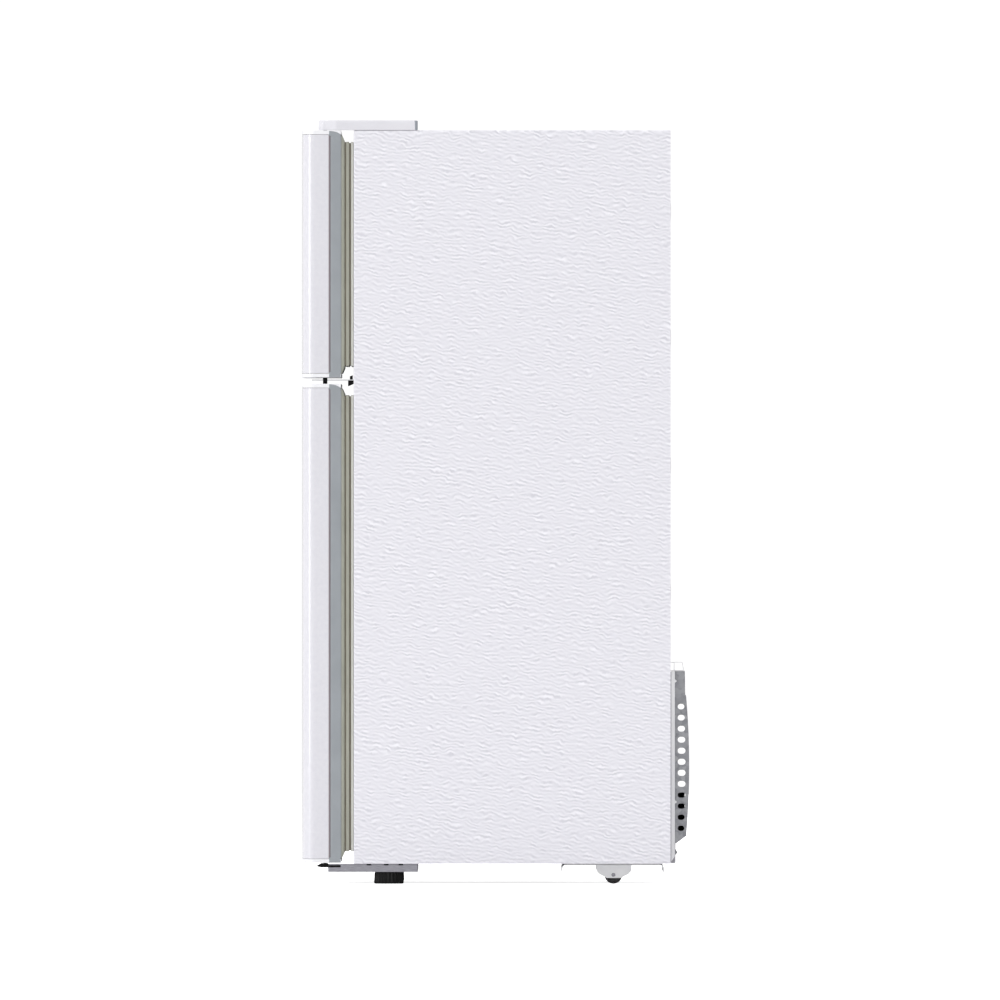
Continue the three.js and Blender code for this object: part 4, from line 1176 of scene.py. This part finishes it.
def ice_tray():
    (x0, x1), (y0, y1), (z0, z1) = span("ice_tray")
    rim = ((x0 + 1.3, x1 - 1.3), (y0 + 1.3, y1 - 1.3), (z0, z1))
    shell = tray(*rim, wall=2, corner=9, draft=4, lip=6)
    rows = [y0 + (y1 - y0) * i / 7 for i in range(1, 7)]
    walls = [slab((x0 + 5, x1 - 5), (y - 1.2, y + 1.2), (z0 + 3, z1 - 6), 1, "y") for y in rows]
    x = (x0 + x1) / 2
    middle = slab((x - 1.2, x + 1.2), (y0 + 5, y1 - 5), (z0 + 3, z1 - 6), 1, "x")
    fixed("ice_tray_mould", joined(shell, *walls, middle), LINING, "ice_tray", smooth=40)


def evaporator_cover():
    """The freezer's rear panel: intake slots below, a ringed grille over the fan, and its motor."""
    z, radius = 1500, 56  # the fan's middle, and the hole in front of it
    panel = slab((-312, 312), (246, 248.6), (1164.5, 1597.5), 14, "y", 6)
    hole = peg(radius, 240, 255, "y", (0, z), 64)
    intakes = [slab((x - 22, x + 22), (240, 255), (h - 2.5, h + 2.5), 2.4, "y")
               for x in range(-240, 241, 60) for h in (1182, 1194, 1206)]
    fixed("evaporator_panel", panel, LINING, "evaporator_cover", bevel=0.5,
          cut=joined(hole, *intakes))

    def hoop(r0, r1, low, high):
        turns = [2 * pi * i / 72 for i in range(72)]
        corners = ((r0, low), (r1, low), (r1, high), (r0, high))
        return loft([[(r * cos(t), y, z + r * sin(t)) for t in turns] for r, y in corners], loop=True)

    bars = [turned_about(slab((-1.2, 1.2), (246.2, 248.8), (z + 10, z + 57), 0.8, "y"),
                         i * pi / 4, "Y", (0, 247, z)) for i in range(8)]
    grille = [hoop(r, r + 1.8, 246.2, 248.4) for r in (18, 28, 38, 48)]
    boss = lathe([(9, 246), (11, 247), (11, 249)], "y", (0, z), 40)
    duct = hoop(radius, radius + 4, 246.4, 288)
    arms = [slab((-a, a), (284, 288), (z - b, z + b), 2, "y") for a, b in ((58, 5), (5, 58))]
    fixed("evaporator_grille", joined(boss, duct, *bars, *grille, *arms), LINING)
    motor = lathe([(20, 281), (22, 283), (22, 304), (18, 308)], "y", (0, z), 40)
    fixed("evaporator_fan_motor", motor, GALVANISED)


def control_housing():
    x, y, z = span("control_housing")
    y0, z0 = y[0], z[0]
    dial_x, dial_z = -60, 1037
    shell = tray(x, y, z, wall=2.4, corner=9, draft=2)
    bores = [peg(r, y0 - 2, y0 + 12, "y", at, 32)
             for r, at in ((4.6, (dial_x, dial_z)), (5.4, (298, 1042)))]
    through = (z0 - 2, z0 + 6)
    window = slab((39, 141), (-216, -154), through, 3)
    vents = [slab((170 + 14 * i, 177 + 14 * i), (-220, -150), through, 3) for i in range(8)]
    fixed("control_housing_shell", shell, LINING, "control_housing", smooth=40,
          cut=joined(*bores, window, *vents))
    marks = []
    for i in [0, *range(2, 11), 12]:
        reach = 20.5 if i % 4 else 21
        mark = slab((dial_x - 0.5, dial_x + 0.5), (y0 + 1.3, y0 + 2.3),
                    (dial_z + 17.5, dial_z + reach), 0.2, "y")
        marks.append(turned_about(mark, radians(-135 + 22.5 * i), "Y", (dial_x, y0, dial_z)))
    fixed("temperature_marks", joined(*marks), GREY)


def temperature_dial():
    (x0, x1), (y0, _), (z0, z1) = span("temperature_dial")
    x, z, front = (x0 + x1) / 2, (z0 + z1) / 2, -262
    rim = [(14.4, front - 0.4), (14.9, front - 2), (14.2, front - 12), (12.6, front - 14)]
    knob = lathe(rim, "y", (x, z), sides=120, flutes=20, depth=0.7)
    spindle = peg(3.9, front - 1, front + 8, "y", (x, z))
    bar = slab((x - 2.6, x + 2.6), (y0, front - 12), (z - 12, z + 12), 2.4, "y")
    piece("temperature_dial_knob", joined(knob, spindle, bar), "temperature_dial", GREY,
          "temperature_dial", bevel=0.3, smooth=50)
    line = slab((x - 0.5, x + 0.5), (y0, y0 + 0.6), (z + 3, z + 11), 0.3, "y")
    piece("temperature_dial_line", line, "temperature_dial", LINING)


def light_switch():
    (x0, x1), (y0, y1), (z0, z1) = span("light_switch")
    plunger = lathe([(3.2, y0), (4.6, y0 + 1.2), (5, y0 + 3), (5, y1)], "y",
                    ((x0 + x1) / 2, (z0 + z1) / 2), 32)
    piece("light_switch_plunger", plunger, "light_switch", LINING, "light_switch")


def lamp_lens():
    (x0, x1), (y0, y1), (z0, z1) = span("lamp_lens")
    body = slab((x0, x1), (y0, y1), (z0 + 1.4, z1), 4)
    prisms = [prism([(y, z0 + 1.6), (y + 2.4, z0), (y + 4.8, z0 + 1.6)], "x", x0 + 3, x1 - 3)
              for y in [y0 + 4 + 5.2 * i for i in range(10)]]
    fixed("lamp_cover", joined(body, *prisms), LAMP, "lamp_lens", smooth=20)


def humidity_slide(name):
    (x0, x1), (y0, y1), (z0, z1) = span(name)
    body = slab((x0, x1), (y0 + 2, y1), (z0, z1), 2.5, "y")
    middle = (x0 + x1) / 2
    ridges = [slab((x - 0.8, x + 0.8), (y0, y0 + 3), (z0 + 2, z1 - 2), 0.7, "y")
              for x in [middle + d for d in (-6, -3, 0, 3, 6)]]
    piece(f"{name}_tab", joined(body, *ridges), name, GREY, name, bevel=0.3)


lining("freezer_liner", 315.5, 1162, 1600, (1150, 1627.7), 14, [((-185, 235), FREEZER_SHELF)])
lining("fresh_food_liner", 327.5, 92, 1056, (46, 1068), 16,
       [((-190, 270), UPPER_SHELF), ((-195, 270), LOWER_SHELF), ((-200, 90), CRISPER_COVER)],
       hump=(100, 350))
dressed("evaporator", ALUMINIUM)
evaporator_cover()
fan_wheel("evaporator_fan", "y", radius=50, hub=12, depth=18)
glass_shelf("freezer_shelf", FREEZER_SHELF, thick=6, lip=5)
ice_tray()
pull_out("ice_bin")
control_housing()
temperature_dial()
light_switch()
lamp_lens()
glass_shelf("upper_shelf", UPPER_SHELF, thick=10, lip=4)
glass_shelf("crisper_cover", CRISPER_COVER, thick=10, lip=4)
# the lower shelf carries the deli drawer: two hangers under the shelf hold the drawer's runners
hangers = [prism(rounded([(s * 298, 471), (s * 298, 446), (s * 284, 446), (s * 284, 449),
                          (s * 295, 449), (s * 295, 471)], [0, 1.5, 1, 1, 1, 0], 3), "y", -191, 215)
           for s in (-1, 1)]
glass_shelf("lower_shelf", LOWER_SHELF, thick=10, lip=4, rails=hangers)
pull_out("deli_drawer", [slab(across(s, 278, 293), (-195, 185), (450, 453), 1.5)
                         for s in (-1, 1)])
for which in ("left", "right"):
    pull_out(f"{which}_crisper")
    humidity_slide(f"{which}_humidity_slide")
